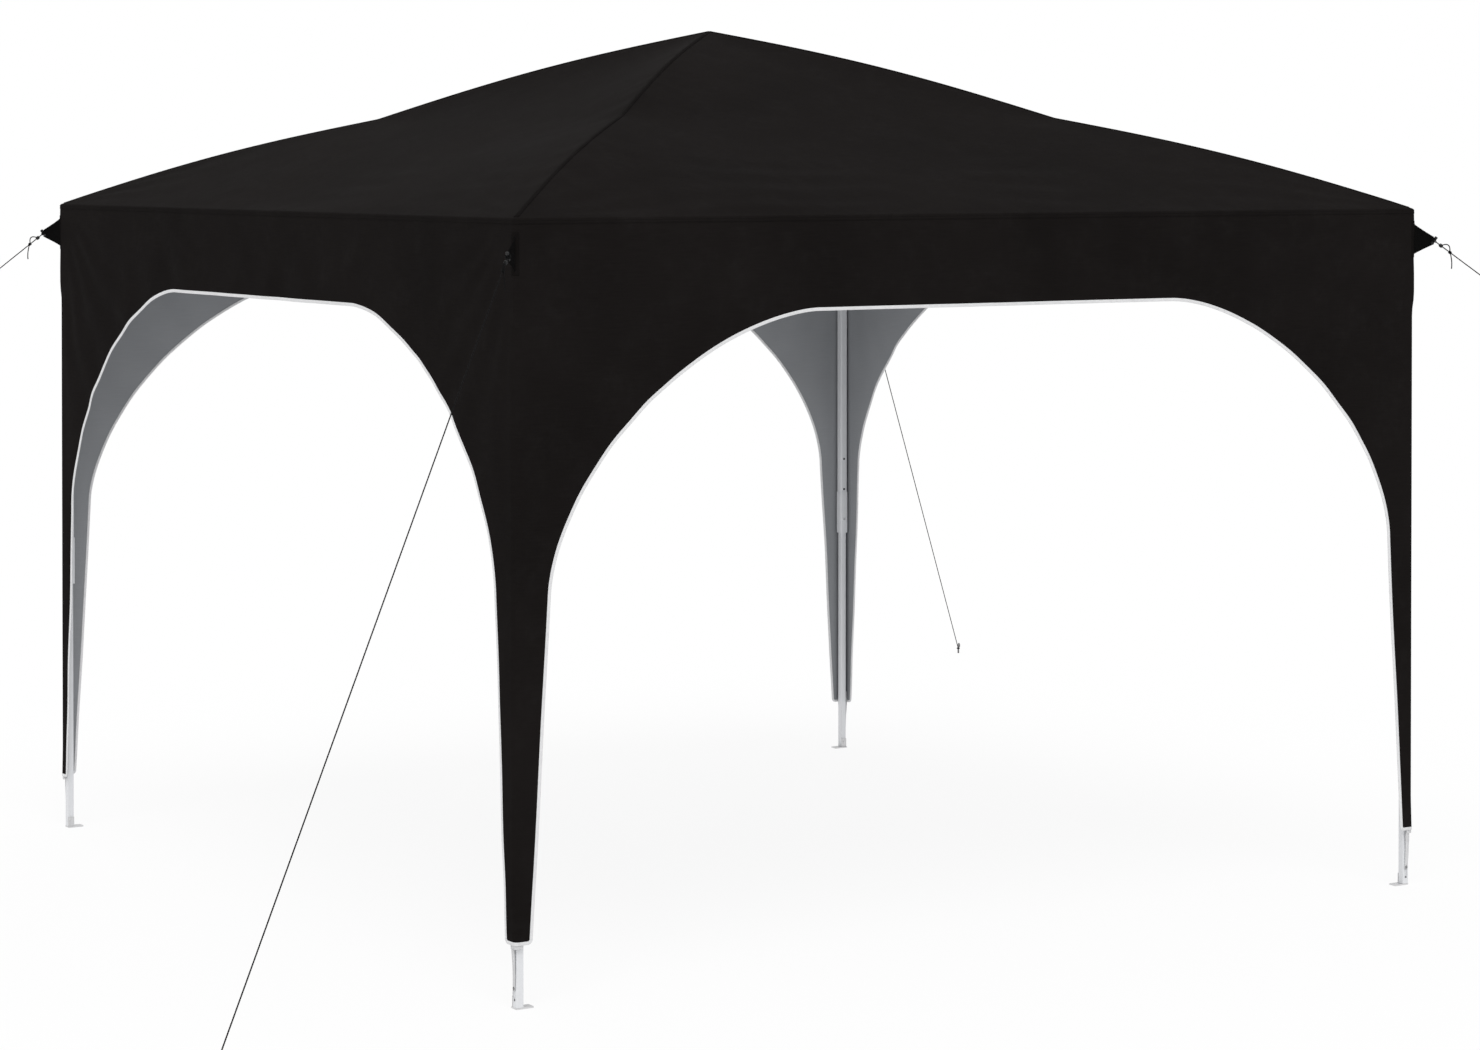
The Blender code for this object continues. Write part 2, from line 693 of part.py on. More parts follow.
def build():
    clear_scene()
    cloth = make_material("canopy_cloth", (0.013, 0.013, 0.015), 0.75)
    steel = make_material("frame_steel", (0.66, 0.67, 0.69), 0.38)
    sleeve_plastic = make_material("sleeve_plastic", (0.62, 0.63, 0.65), 0.5)
    bracket_plastic = make_material("bracket_plastic", (0.03, 0.03, 0.032), 0.5)
    foot_steel = make_material("foot_steel", (0.60, 0.60, 0.61), 0.4, metallic=0.6)
    strap_webbing = make_material("strap_webbing", (0.72, 0.72, 0.72), 0.8)
    tab_webbing = make_material("tab_webbing", (0.01, 0.01, 0.01), 0.8)
    rope_fibre = make_material("rope_fibre", (0.30, 0.30, 0.30), 0.85)
    peg_steel = make_material("peg_steel", (0.25, 0.25, 0.26), 0.35, metallic=1.0)

    side_pieces = (
        ("roof_panel", roof_panel_mesh(), cloth, (0, 0, 0), 0.0),
        ("side_panel", side_panel_mesh(), cloth, (0, 0, 0), 0.0),
        ("side_truss", side_truss_mesh(), steel, (0, -LEG_CENTRE, 0), 0.0),
        ("ceiling_truss", ceiling_truss_mesh(), steel, (0, 0, 0), QUARTER),
    )
    for number, side in enumerate(SIDES):
        quarter = make_empty("quarter_" + side, (0, 0, 0), QUARTER * number)
        for kind, mesh, material, offset, turn in side_pieces:
            piece = place(kind + "_" + side, mesh, material, quarter, turn)
            piece.location = offset

    corner_pieces = (
        ("corner_bracket", corner_bracket_mesh(), bracket_plastic),
        ("slider_bracket", slider_bracket_mesh(), bracket_plastic),
        ("hem_strap", hem_strap_mesh(), strap_webbing),
    )
    upper_leg = upper_leg_mesh()
    leg_sleeve = leg_sleeve_mesh()
    foot = foot_mesh()
    handed_pieces = (
        ("upper_leg", upper_leg, swap_sides(upper_leg), steel),
        ("leg_sleeve", leg_sleeve, swap_sides(leg_sleeve), sleeve_plastic),
        ("foot", foot, swap_sides(foot), foot_steel),
    )
    lower_leg = lower_leg_mesh()
    guy_pieces = (
        ("guy_tab", guy_tab_mesh(), tab_webbing),
        ("guy_rope", guy_rope_mesh(), rope_fibre),
        ("tent_peg", tent_peg_mesh(), peg_steel),
    )
    for number, corner in enumerate(CORNERS):
        turn = QUARTER * number
        leg_place = Vector((-LEG_CENTRE, -LEG_CENTRE, 0.0))
        leg_place.rotate(Matrix.Rotation(turn, 3, "Z"))
        leg_axis = make_empty("leg_axis_" + corner, leg_place, turn)
        diagonal = make_empty("diagonal_" + corner, (0, 0, 0), turn + FRONT_LEFT_DIAGONAL)
        for kind, mesh, material in corner_pieces:
            place(kind + "_" + corner, mesh, material, leg_axis)
        for kind, plain, swapped, material in handed_pieces:
            place(kind + "_" + corner, swapped if number % 2 else plain, material, leg_axis)
        place("lower_leg_" + corner, lower_leg, steel, leg_axis)
        for kind, mesh, material in guy_pieces:
            place(kind + "_" + corner, mesh, material, diagonal)

    middle = make_empty("middle", (0, 0, 0), 0.0)
    upper_hub = hub_mesh("upper_hub", UPPER_HUB_LOW, UPPER_HUB_HIGH, BAR_LAYER)
    lower_hub = hub_mesh("lower_hub", SLIDER_LOW, SLIDER_HIGH, -BAR_LAYER)
    place("upper_hub", upper_hub, bracket_plastic, middle)
    place("lower_hub", lower_hub, bracket_plastic, middle)
    place("peak_pole", peak_pole_mesh(), steel, middle)


build()
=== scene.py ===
"""Looks of a pop-up party tent: cloth cover, tape, seams, ropes, straps and finishes over the fixed frame.

Metres, +Z up. The origin is on the ground under the peak. The front side faces -Y. Sides and corners are
numbered anticlockwise from the front side and the front left corner, and repeated pieces are built for the
first one and turned by quarters.
"""

import math

import bmesh
import bpy
import numpy as np
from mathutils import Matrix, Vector


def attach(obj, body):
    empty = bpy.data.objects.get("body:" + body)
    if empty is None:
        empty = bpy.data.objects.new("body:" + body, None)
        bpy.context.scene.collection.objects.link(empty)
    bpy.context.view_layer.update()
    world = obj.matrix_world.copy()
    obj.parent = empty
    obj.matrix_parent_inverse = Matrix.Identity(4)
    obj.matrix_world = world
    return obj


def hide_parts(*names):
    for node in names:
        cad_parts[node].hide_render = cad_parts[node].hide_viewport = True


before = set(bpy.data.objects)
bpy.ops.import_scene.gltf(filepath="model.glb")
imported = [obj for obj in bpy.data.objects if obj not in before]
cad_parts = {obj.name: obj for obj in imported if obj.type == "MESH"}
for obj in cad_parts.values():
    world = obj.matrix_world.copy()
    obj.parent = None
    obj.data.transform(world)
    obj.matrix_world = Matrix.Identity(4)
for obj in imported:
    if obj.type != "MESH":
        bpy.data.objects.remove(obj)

bl_info = {
    "name": "Pop-up Party Tent",
    "version": (1, 0, 0),
    "blender": (4, 5, 0),
    "location": "3D View > Sidebar > Party Tent",
    "description": "Builds the cloth, trim, ropes and finishes of a pop-up party tent over its frame",
    "category": "Object",
}

SIDES = ("front", "right", "back", "left")
CORNERS = ("front_left", "front_right", "back_right", "back_left")
QUARTER = math.pi / 2
FULL = 2 * math.pi
UP = np.array([0.0, 0.0, 1.0])
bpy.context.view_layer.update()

# Cloth canopy, with the frame's own sizes
CLOTH_HALF = 1.460
EAVE_HEIGHT = 1.930
PEAK_HEIGHT = 2.450
HIP_SWELL = 0.020
PANEL_SAG = 0.010
ARCH_TOP = 1.687
ARCH_SPRING = 1.000
ARCH_FLAT_START = 0.885
ARCH_SPRING_WIDTH = 0.100
ARCH_POWER = 1.68
HEM_HEIGHT = 0.159
HEM_WIDTH = 0.049
HEM_ROUNDING = 0.013
LEG_COVER_LOW = HEM_HEIGHT + HEM_ROUNDING

# Plan rounding of the cover's corner at a few heights, where the cloth passes brackets and leg
FOLD_HEIGHTS = (0.159, 0.250, 1.640, 1.680, 1.745, 1.790, 1.840, 1.865, 1.885, 1.907, 1.930)
FOLD_RADII = (0.012, 0.018, 0.020, 0.007, 0.007, 0.010, 0.010, 0.007, 0.007, 0.008, 0.010)
PEAK_RADIUS = 0.002

# Cover's grid
ROOF_CELLS = 64
FOLD_PLACES = (0.0, 0.0035, 0.0070, 0.0105, 0.0160)
ACROSS_CELLS = 24
LEG_LINES = 40
SHOULDER_LINES = 40
EAVE_GRADING = 1.35
EAVE_ROUNDING = 0.004
MAP_STEP = 3.1
MAP_ROOF = 2.2

# Small reliefs of the cloth
PUCKER = 0.0018
ROOF_FOLD = 0.0045
ROOF_STREAK = 0.0018
ROOF_FAN = 0.0016
SIDE_FOLD = 0.0035
VALANCE_FOLD = 0.0030
SIDE_FAN = 0.0022
SIDE_EDGE = 0.0010
LEG_FOLD = 0.0022
DEEPEST = 0.0040
DEEPEST_AT_BRACKET = 0.0006

# Tape, seams and stitches
TAPE_EDGE = 0.0008
TAPE_SUNK = 0.0002
TAPE_DROP = 0.0016
TAPE_STITCH_INSET = 0.0018
SEAM_FOLD = 0.001
SEAM_STITCH_INSET = 0.002
HIP_SEAM_HEIGHT = 0.0015
HIP_SEAM_ENDS = (0.012, 0.003)
HIP_TAPE_EXTRA = 0.008
HIP_TAPE_HEIGHT = 0.0012
EAVE_SEAM_HEIGHT = 0.0009
EAVE_SEAM_RISE = 0.002
EAVE_STITCH_LIFT = 0.0013
EAVE_STITCH_INSET = 0.003
STITCH = 0.0007
FINE_STITCH = 0.0006
SUNK = 0.0004

# Leg axis, tubes, holes and button; a black disc just inside each hole is painted shade
LEG_CENTRE = 1.440
UPPER_TUBE_HALF = 0.0125
LOWER_TUBE_HALF = 0.0100
SLEEVE_HALF = 0.0142
HOLE_HEIGHTS = (0.804, 0.909, 1.015)
HOLE_RADIUS = 0.0042
HOLE_SHADE_DEPTH = 0.0011
HOLE_SHADE_DISC = ((0.0040, 0.0), (0.0040, 0.0004))
TUBE_RIM = (0.0004, 0.0006)
SLEEVE_RIM = (0.0006, 0.0008)
RIM_STAND = 0.0001
BUTTON_RADII = (0.0036, 0.0036, 0.0034, 0.0028, 0.0018, 0.0006)
BUTTON_HEIGHTS = (0.0, 0.0040, 0.0052, 0.0062, 0.0068, 0.0070)

# Hem straps, from the hem's inside to the hook in the tube
STRAP_TOP = 0.195
STRAP_BOTTOM = 0.045
STRAP_ROWS = 34
STRAP_HALF = 0.0075
STRAP_TAPER = 0.0020
STRAP_THICKNESS = 0.0007
STRAP_CURL = 0.0006
STRAP_SWAY = 0.0009
STRAP_INSET = 0.0024
STRAP_STAND = 0.0009
STRAP_STITCH_HALF = 0.0072
STRAP_STITCH_LIFT = 0.0008
STRAP_SECTION = ((-1, 0.3), (-0.94, 1), (-0.5, 1), (0, 1), (0.5, 1), (0.94, 1), (1, 0.3))
FACING_HALF = 0.024
FACING_ROWS = (-0.0100, -0.0095, 0.0, 0.012)
FACING_LIFTS = (-0.0014, -0.0022)
EYELET_RADIUS = 0.0031
EYELET_WIRE = 0.0012
EYELET_RISE = 0.0065
EYELET_STAND = 0.0019
HOOK_WIRE = 0.0008
HOOK_STAND = 0.0012
HOOK_BOW = 0.0030
HOOK_SWAY = 0.0012
HOOK_START = 0.001
HOOK_DROP = 0.0265
HOOK_TIP = (0.0004, 0.0285)
HOOK_SEAT_DROP = 0.0220
HOOK_SEAT = ((0.0030, 0.0), (0.0030, 0.0006), (0.0014, 0.0008))

# Scissor frame and its rivets
BAR_LAYER = 0.0045
BAR_THICKNESS = 0.010
TRUSS_TOP = 1.900
TRUSS_BOTTOM = 1.710
PIVOT_REACH = 0.035
SIDE_CROSSINGS = 4
CEILING_CROSSINGS = 2
FORK_HALF_WIDTH = 0.012
RIVET_RADIUS = 0.0048
RIVET_HEIGHT = 0.0022

# Guy tabs, on the corners' diagonals
CORNER_DIAGONAL = math.sqrt(2) * CLOTH_HALF
GAP = 0.0003
TAB_BASE_LOW = 1.800
TAB_BASE_HIGH = 1.888
TAB_TIP_HEIGHT = 1.840
TAB_TIP_HALF = 0.0105
TAB_LENGTH = 0.052
TAB_BOW = 0.0012
TAB_ROOT_SUNK = 0.001
TAB_TAPER = 0.9
TAB_EDGE_ROWS = (0.12, 0.88)
TAB_EDGE_LIFT = 0.0013
TAB_BAR_PLACES = (0.78, 0.84)
TAB_BAR_LIFT = 0.0010
TAB_PLACES = (0.0, 0.02, 0.10, 0.14, 0.50, 0.86, 0.90, 0.98, 1.0)
TAB_WIDTHS = (0.0004, 0.0013, 0.0013, 0.0008, 0.0007, 0.0008, 0.0013, 0.0013, 0.0004)
PATCH_LIFT = 0.0011
PATCH_MARGIN = 0.008
PATCH_STITCH_MARGIN = 0.005
PATCH_STITCHES = (0.008, 0.012, -0.008, -0.012)
PATCH_PLACES = (0.0015, 0.004, 0.007, 0.010, 0.0135, 0.014)
TOGGLE_RADIUS = 0.0045
TOGGLE_LENGTH = 0.026
TOGGLE_PROFILE = ((-1.0, 0.45), (-0.98, 0.75), (-0.92, 0.97), (-0.80, 1.0), (-0.22, 1.0), (-0.16, 0.80))

# Guy ropes and pegs; the places along the rope are measured from the toggle
HITCH_RISE = 0.0018
BEAD_AT = 0.018
BEAD_HALF = 0.0058
BEAD_RADIUS = 0.0053
BEAD_PROFILE = ((-1.0, 0.42), (-0.97, 0.62), (-0.80, 0.86), (-0.45, 1.0), (0.0, 1.04))
LOOP_START = 0.019
LOOP_END = 0.048
LOOP_RISE = 0.0125
LOOP_LIFT = 0.0012
LOOP_LEAN = 0.0026
COIL_START = 0.002
COIL_LENGTH = 0.0075
COIL_RADIUS = 0.0034
COIL_TURNS = 2.5
TAIL_START = 0.0030
TAIL_SWING = 0.004
TAIL_SIDE = 0.0025
PEG_DISTANCE = 4.540
PEG_RADIUS = 0.0035
PEG_STRAIGHT_HEIGHT = 0.025
PEG_HOOK_REACH = 0.024
PEG_ROPE_HEIGHT = 0.020
PEG_RING_GAP = 0.0002
PEG_RING_SLOPE = 0.25
PEG_END_DROPS = (0.0015, 0.0025, 0.0031)
TOGGLE_PLACE = np.array([CORNER_DIAGONAL + GAP + TAB_LENGTH, 0.0, TAB_TIP_HEIGHT])

# Studio and the photograph's camera
WHITE = (1.0, 1.0, 1.0, 1.0)
FLOOR_RINGS = 40
FLOOR_SIDES = 96
FLOOR_REACH = 90.0
FLOOR_HEIGHT = -0.0005
FLOOR_FADE = (2.0, 8.0, 0.88, 1.0)
LAMP_AIM = (0.45, 0.75, -1.6)
LAMP_SPREAD = math.radians(35)
CAMERA_PLACE = (-5.7818, -9.3408, 2.0929)
CAMERA_TURN = (math.radians(89.0), 0.0, -0.5626)
CAMERA_SHIFT = -308.85 / 1480
CAMERA_SENSOR = 36.0


# Settings that a user would change


def length_setting(name, text, value, least=0.0):
    return bpy.props.FloatProperty(name=name, description=text, default=value, min=least, unit="LENGTH")


def amount_setting(name, text, value):
    return bpy.props.FloatProperty(name=name, description=text, default=value, min=0.0, subtype="FACTOR")


def colour_setting(name, text, value):
    return bpy.props.FloatVectorProperty(name=name, description=text, default=value, subtype="COLOR")


def lens_setting(name, text, value):
    return bpy.props.FloatProperty(name=name, description=text, default=value, subtype="DISTANCE_CAMERA")


class ClothSettings(bpy.types.PropertyGroup):
    thickness: length_setting("Thickness", "Thickness of the coated cloth", 0.0012, 0.0005)
    colour: colour_setting("Outside", "Colour of the cloth's outside", (0.0094, 0.0081, 0.0078))
    lining_colour: colour_setting("Lining", "Colour of the coated inside", (0.235, 0.243, 0.256))
    wrinkles: amount_setting("Wrinkles", "Strength of the cloth's puckers and folds", 1.0)
    weave_pitch: length_setting("Weave pitch", "Distance between the weave's threads", 0.0009, 0.0001)


class TrimSettings(bpy.types.PropertyGroup):
    tape_outside: length_setting("Tape outside", "Width of the edge tape on the outside", 0.0080)
    tape_inside: length_setting("Tape inside", "Width of the edge tape on the inside", 0.0070)
    tape_thickness: length_setting("Tape thickness", "Thickness of the edge tape", 0.0008)
    tape_colour: colour_setting("Tape colour", "Colour of the edge tape", (0.80, 0.80, 0.81))
    seam_width: length_setting("Seam width", "Width of the folded seams", 0.012)
    stitch_pitch: length_setting("Stitch pitch", "Distance from stitch to stitch", 0.0050, 0.002)
    stitch_length: length_setting("Stitch length", "Length of one stitch", 0.0034)
    strap_colour: colour_setting("Straps", "Colour of the hem straps", (0.70, 0.70, 0.71))


class RopeSettings(bpy.types.PropertyGroup):
    diameter: length_setting("Diameter", "Diameter of the guy ropes", 0.0035)
    twist_pitch: length_setting("Twist pitch", "Length of one turn of a strand", 0.0150, 0.001)
    colour: colour_setting("Colour", "Colour of the guy ropes", (0.006, 0.006, 0.0062))
    tail_length: length_setting("Tail", "Length of the rope's hanging tail", 0.046)


class FrameSettings(bpy.types.PropertyGroup):
    steel_colour: colour_setting("Tubes", "Colour of the powder coat", (0.72, 0.73, 0.75))
    sleeve_colour: colour_setting("Sleeves", "Colour of the moulded leg sleeves", (0.70, 0.71, 0.73))
    bracket_colour: colour_setting("Brackets", "Colour of the moulded brackets", (0.022, 0.022, 0.024))


class StageSettings(bpy.types.PropertyGroup):
    floor_colour: colour_setting("Floor", "Colour of the studio floor", (0.90, 0.90, 0.90))
    sky_strength: amount_setting("Sky", "Strength of the even studio light", 0.80)
    lamp_strength: amount_setting("Lamp", "Strength of the main lamp", 1.2)
    lens: lens_setting("Lens", "Focal length of the camera in millimetres", 90.0)


def settings_of(kind):
    return getattr(bpy.context.scene, "party_tent_" + kind)


# Shape of the cover, as functions of place that work on whole arrays


def turned(points, number):
    """Points of the first side or corner, turned to another one."""
    points = np.asarray(points, float)
    x, y, z = points[..., 0], points[..., 1], points[..., 2]
    a, b = ((x, y), (-y, x), (-x, -y), (y, -x))[number % 4]
    return np.stack([a, b, z], axis=-1)


def smooth_step(value, low, high):
    share = np.clip((value - low) / (high - low), 0.0, 1.0)
    return share * share * (3 - 2 * share)


def soft_noise(a, b, size, seed, waves=7):
    """Smooth noise from -1 to 1 made of a few long waves in seeded directions."""
    source = np.random.RandomState(seed)
    total = np.zeros(np.broadcast(a, b).shape)
    for _ in range(waves):
        turn = source.uniform(0, FULL)
        wave = size * source.uniform(0.7, 1.6)
        phase = source.uniform(0, FULL)
        total = total + np.sin(FULL * (a * math.cos(turn) + b * math.sin(turn)) / wave + phase)
    return total / math.sqrt(waves) * 0.7


def fold_radius(height):
    return np.interp(height, FOLD_HEIGHTS, FOLD_RADII)


def roof_height(far, near):
    """Height of the roof's outside from the larger and the smaller of |x| and |y|."""
    rise = 1 - far / CLOTH_HALF
    across = near / np.maximum(far, 1e-6)
    straight = EAVE_HEIGHT + (PEAK_HEIGHT - EAVE_HEIGHT) * rise
    swell = HIP_SWELL * np.abs(np.sin(FULL * rise)) * across ** 2
    sag = PANEL_SAG * np.sin(math.pi * rise) ** 2 * (1 - across ** 2)
    return straight + swell - sag


def roof_relief(x, y):
    """Small outward moves of the roof cloth: puckers beside the hips, pulls at the corners and soft folds."""
    far = np.maximum(abs(x), abs(y))
    near = np.minimum(abs(x), abs(y))
    side = np.where(abs(y) >= abs(x), np.where(y < 0, 0, 2), np.where(x > 0, 1, 3))
    along = np.where(side % 2 == 0, x, y)
    from_eave = CLOTH_HALF - far
    from_hip = (far - near) / math.sqrt(2)
    up_hip = (far + near) / math.sqrt(2)
    from_corner = np.hypot(CLOTH_HALF - far, CLOTH_HALF - near)
    calm = smooth_step(from_eave, 0.004, 0.06) * smooth_step(np.hypot(x, y), 0.10, 0.35)
    wander = soft_noise(x, y, 0.9, 11)
    pucker = np.sin(FULL * up_hip / 0.150 + 3.0 * wander + side) * np.exp(-from_hip / 0.080)
    pucker = pucker * np.clip(0.45 + soft_noise(x, y, 0.35, 15), 0, 1.1) * smooth_step(from_hip, 0.0, 0.03)
    broad = soft_noise(x, y, 1.1, 12) * smooth_step(from_hip, 0.0, 0.2)
    streak = np.sin(FULL * from_eave / 0.125 + 1.7 * soft_noise(x, y, 0.7, 13) + 2 * side)
    streak = streak * smooth_step(from_eave, 0.03, 0.12) * (1 - smooth_step(from_eave, 0.25, 0.55))
    streak = streak * np.clip(0.35 + soft_noise(along, 3.0 * side, 0.8, 14), 0, 1)
    streak = streak * smooth_step(from_hip, 0.0, 0.06)
    turn = np.arctan2(CLOTH_HALF - near, CLOTH_HALF - far + 1e-9)
    fan = np.sin(26 * turn + 1.5 * wander) * smooth_step(from_corner, 0.06, 0.2)
    fan = fan * (1 - smooth_step(from_corner, 0.30, 0.75)) * smooth_step(from_hip, 0.0, 0.08)
    return calm * (PUCKER * pucker + ROOF_FOLD * broad + ROOF_STREAK * streak + ROOF_FAN * fan)


def leg_width(height):
    """Width of the leg cover below the arch, where it tapers evenly to the hem."""
    return HEM_WIDTH + (ARCH_SPRING_WIDTH - HEM_WIDTH) * (height - HEM_HEIGHT) / (ARCH_SPRING - HEM_HEIGHT)


def arch_across(angle):
    return ARCH_FLAT_START - (ARCH_FLAT_START - ARCH_SPRING_WIDTH) * np.cos(angle) ** (2 / ARCH_POWER)


def side_width(height):
    """Width of the cloth at one height, from the corner to the edge of the opening."""
    share = np.clip((height - ARCH_SPRING) / (ARCH_TOP - ARCH_SPRING), 0, 1)
    high = arch_across(np.arcsin(share ** (ARCH_POWER / 2)))
    return np.where(height < ARCH_SPRING, leg_width(height), high)


def side_relief(x, height, number):
    """Small outward moves of a side: folds of the valance, pulls at the corners, slack along the edges."""
    from_corner = CLOTH_HALF - abs(x)
    drop = EAVE_HEIGHT - height
    hand = np.where(x < 0, 0.0, 7.0) + 3.0 * number
    across = np.clip(from_corner / side_width(height), 0, 1.2)
    calm = smooth_step(drop, 0.006, 0.05) * smooth_step(from_corner, 0.016, 0.075)
    broad = soft_noise(x, height, 0.75, 21 + number) * smooth_step(from_corner, 0.06, 0.35)
    valance = soft_noise(x, 0.35 * height, 0.24, 31 + number)
    valance = valance * smooth_step(drop, 0.02, 0.22) * smooth_step(from_corner, 0.25, 0.6)
    turn = np.arctan2(drop, from_corner + 1e-9)
    reach = np.hypot(drop, from_corner)
    fan = np.sin(21 * turn + 1.3 * soft_noise(x, height, 0.5, 41 + number) + hand)
    fan = fan * smooth_step(reach, 0.08, 0.25) * (1 - smooth_step(reach, 0.45, 0.95))
    edge = np.sin(FULL * (height + 0.6 * from_corner) / 0.21 + 2 * soft_noise(x, height, 0.4, 51 + number))
    edge = edge * smooth_step(across, 0.55, 1.0) * smooth_step(height, 0.95, 1.3)
    leg = soft_noise(from_corner, 0.25 * height + hand, 0.11, 61 + number) * smooth_step(across, 0.2, 0.9)
    leg = leg * (1 - smooth_step(height, 1.0, 1.35)) * smooth_step(height, 0.17, 0.35)
    leg = leg * smooth_step(from_corner, 0.012, 0.03) * smooth_step(height, 0.16, 0.30)
    slack = SIDE_FOLD * broad + VALANCE_FOLD * valance + SIDE_FAN * fan + SIDE_EDGE * edge
    deepest = np.where((height > 1.67) & (from_corner < 0.075), DEEPEST_AT_BRACKET, DEEPEST)
    return np.maximum((calm * slack + LEG_FOLD * leg) * settings_of("cloth").wrinkles, -deepest)


def rounded_side(along, half, radius):
    """Places and outward directions on a square with rounded corners, on the side that faces -Y."""
    from_corner = half - abs(along)
    turn = np.clip(1 - from_corner / radius, 0, 1) * (math.pi / 4)
    straight = from_corner >= radius
    sign = np.where(along < 0, -1.0, 1.0)
    place = np.where(straight, abs(along), half - radius + radius * np.sin(turn)) * sign
    out = np.where(straight, half, half - radius + radius * np.cos(turn))
    return place, -out, np.sin(turn) * sign, -np.cos(turn)


def side_surface(number, x, height, lift=0.0):
    """Points on a side's outer face; lift moves them outwards. The first side faces -Y."""
    number = number % 4
    x, height = np.asarray(x, float), np.asarray(height, float)
    place, out, normal_x, normal_y = rounded_side(x, CLOTH_HALF, fold_radius(height))
    lift = lift + side_relief(x, height, number)
    points = np.stack([place + normal_x * lift, out + normal_y * lift, height + 0 * place], axis=-1)
    return turned(points, number)


def round_corner(number, across, height, lift):
    """Points on the two sides that meet at a corner, given by their distances from it: left is below zero."""
    lift = np.broadcast_to(lift, across.shape)
    left, right = across < 0, across > 0
    before = side_surface(number + 3, CLOTH_HALF + across[left], height, lift[left])
    after = side_surface(number, across[right] - CLOTH_HALF, height, lift[right])
    return [*before, *after]


def roof_surface(x, y, lift=0.0):
    """Points on the roof's outer face over a plan place; the eave's corners are rounded."""
    x, y = np.asarray(x, float), np.asarray(y, float)
    far = np.maximum(abs(x), abs(y))
    near = np.minimum(abs(x), abs(y))
    share = smooth_step(far, CLOTH_HALF - 0.06, CLOTH_HALF - EAVE_ROUNDING)
    radius = PEAK_RADIUS + (FOLD_RADII[-1] - PEAK_RADIUS) * share
    half = np.maximum(far, 1e-4)
    place, out, _, _ = rounded_side(near, half, np.minimum(radius, half))
    steep = abs(y) >= abs(x)
    new_x = np.where(steep, np.abs(place), -out) * np.where(x < 0, -1.0, 1.0)
    new_y = np.where(steep, -out, np.abs(place)) * np.where(y < 0, -1.0, 1.0)
    height = roof_height(far, near) + lift + roof_relief(x, y) * settings_of("cloth").wrinkles
    return np.stack([new_x, new_y, height], axis=-1)


def running(points):
    """Distance along a line at each of its points."""
    return np.concatenate([[0.0], np.cumsum(np.linalg.norm(np.diff(points, axis=0), axis=1))])


def along_line(points, places):
    """Points at given distances along a line."""
    run = running(points)
    return np.stack([np.interp(places, run, column) for column in points.T], axis=-1)


def arch_points(count):
    """Evenly spaced points along the arch, from its spring to the flat top."""
    angle = np.linspace(0, QUARTER, 2000)
    height = ARCH_SPRING + (ARCH_TOP - ARCH_SPRING) * np.sin(angle) ** (2 / ARCH_POWER)
    arch = np.stack([arch_across(angle), height], axis=-1)
    return along_line(arch, np.linspace(0, running(arch)[-1], count))


def leg_edge(heights):
    return [(np.interp(z, (LEG_COVER_LOW, ARCH_SPRING), (HEM_WIDTH, ARCH_SPRING_WIDTH)), z) for z in heights]


def hem_corner(angles):
    """The rounded lower corner of a leg cover as (distance from the corner, height)."""
    across = HEM_WIDTH - HEM_ROUNDING * (1 - np.sin(angles))
    return np.stack([across, HEM_HEIGHT + HEM_ROUNDING * (1 - np.cos(angles))], axis=-1)


def opening_edge():
    """Half of a side's cut edge, from hem to middle, as (distance from the corner, height) rows."""
    hem = [(share * (HEM_WIDTH - HEM_ROUNDING), HEM_HEIGHT) for share in np.linspace(0, 1, 7)[:-1]]
    leg = leg_edge(np.linspace(LEG_COVER_LOW, ARCH_SPRING, 84)[1:])
    top = [(across, ARCH_TOP) for across in np.linspace(ARCH_FLAT_START, CLOTH_HALF, 50)[1:]]
    return np.concatenate([hem, hem_corner(np.linspace(0, QUARTER, 7)), leg, arch_points(130)[1:], top])


# Meshes


def link_piece(name, mesh):
    piece = bpy.data.objects.new(name, mesh)
    bpy.context.scene.collection.objects.link(piece)
    return piece


def make_mesh(name, points, faces, uvs=None):
    """A mesh object at the origin. Its uvs, where given, are one pair for each corner of each face."""
    mesh = bpy.data.meshes.new(name)
    mesh.from_pydata([tuple(point) for point in points], [], faces)
    if uvs is not None:
        layer = mesh.uv_layers.new(name="cloth")
        layer.data.foreach_set("uv", np.asarray(uvs, np.float32).ravel())
    mesh.shade_smooth()
    mesh.update()
    return link_piece(name, mesh)


def edit_mesh(piece, change):
    """Run one change on a piece's mesh as an editable mesh."""
    builder = bmesh.new()
    builder.from_mesh(piece.data)
    change(builder)
    builder.to_mesh(piece.data)
    builder.free()
    piece.data.update()


def close_up(builder):
    """Merge doubled points and turn the faces of a closed shape outwards."""
    bmesh.ops.remove_doubles(builder, verts=builder.verts, dist=1e-5)
    bmesh.ops.recalc_face_normals(builder, faces=builder.faces)
    if builder.calc_volume(signed=True) < 0:
        bmesh.ops.reverse_faces(builder, faces=builder.faces)


def weld(builder):
    """Merge the doubled points where patches of one sheet meet."""
    bmesh.ops.remove_doubles(builder, verts=builder.verts, dist=2e-5)


def face_upwards(builder):
    bmesh.ops.reverse_faces(builder, faces=[face for face in builder.faces if face.normal.z < 0])


def ring_faces(rings, sides, closed):
    """Faces between rings of points laid one after another, with flat ends where the row is open."""
    faces = []
    pairs = [(ring, ring + 1) for ring in range(rings - 1)]
    if closed:
        pairs.append((rings - 1, 0))
    for first, second in pairs:
        for side in range(sides):
            following = (side + 1) % sides
            corners = (first * sides + side, first * sides + following)
            faces.append((*corners, second * sides + following, second * sides + side))
    if not closed:
        faces.append(tuple(range(sides)))
        faces.append(tuple((rings - 1) * sides + side for side in range(sides)))
    return faces


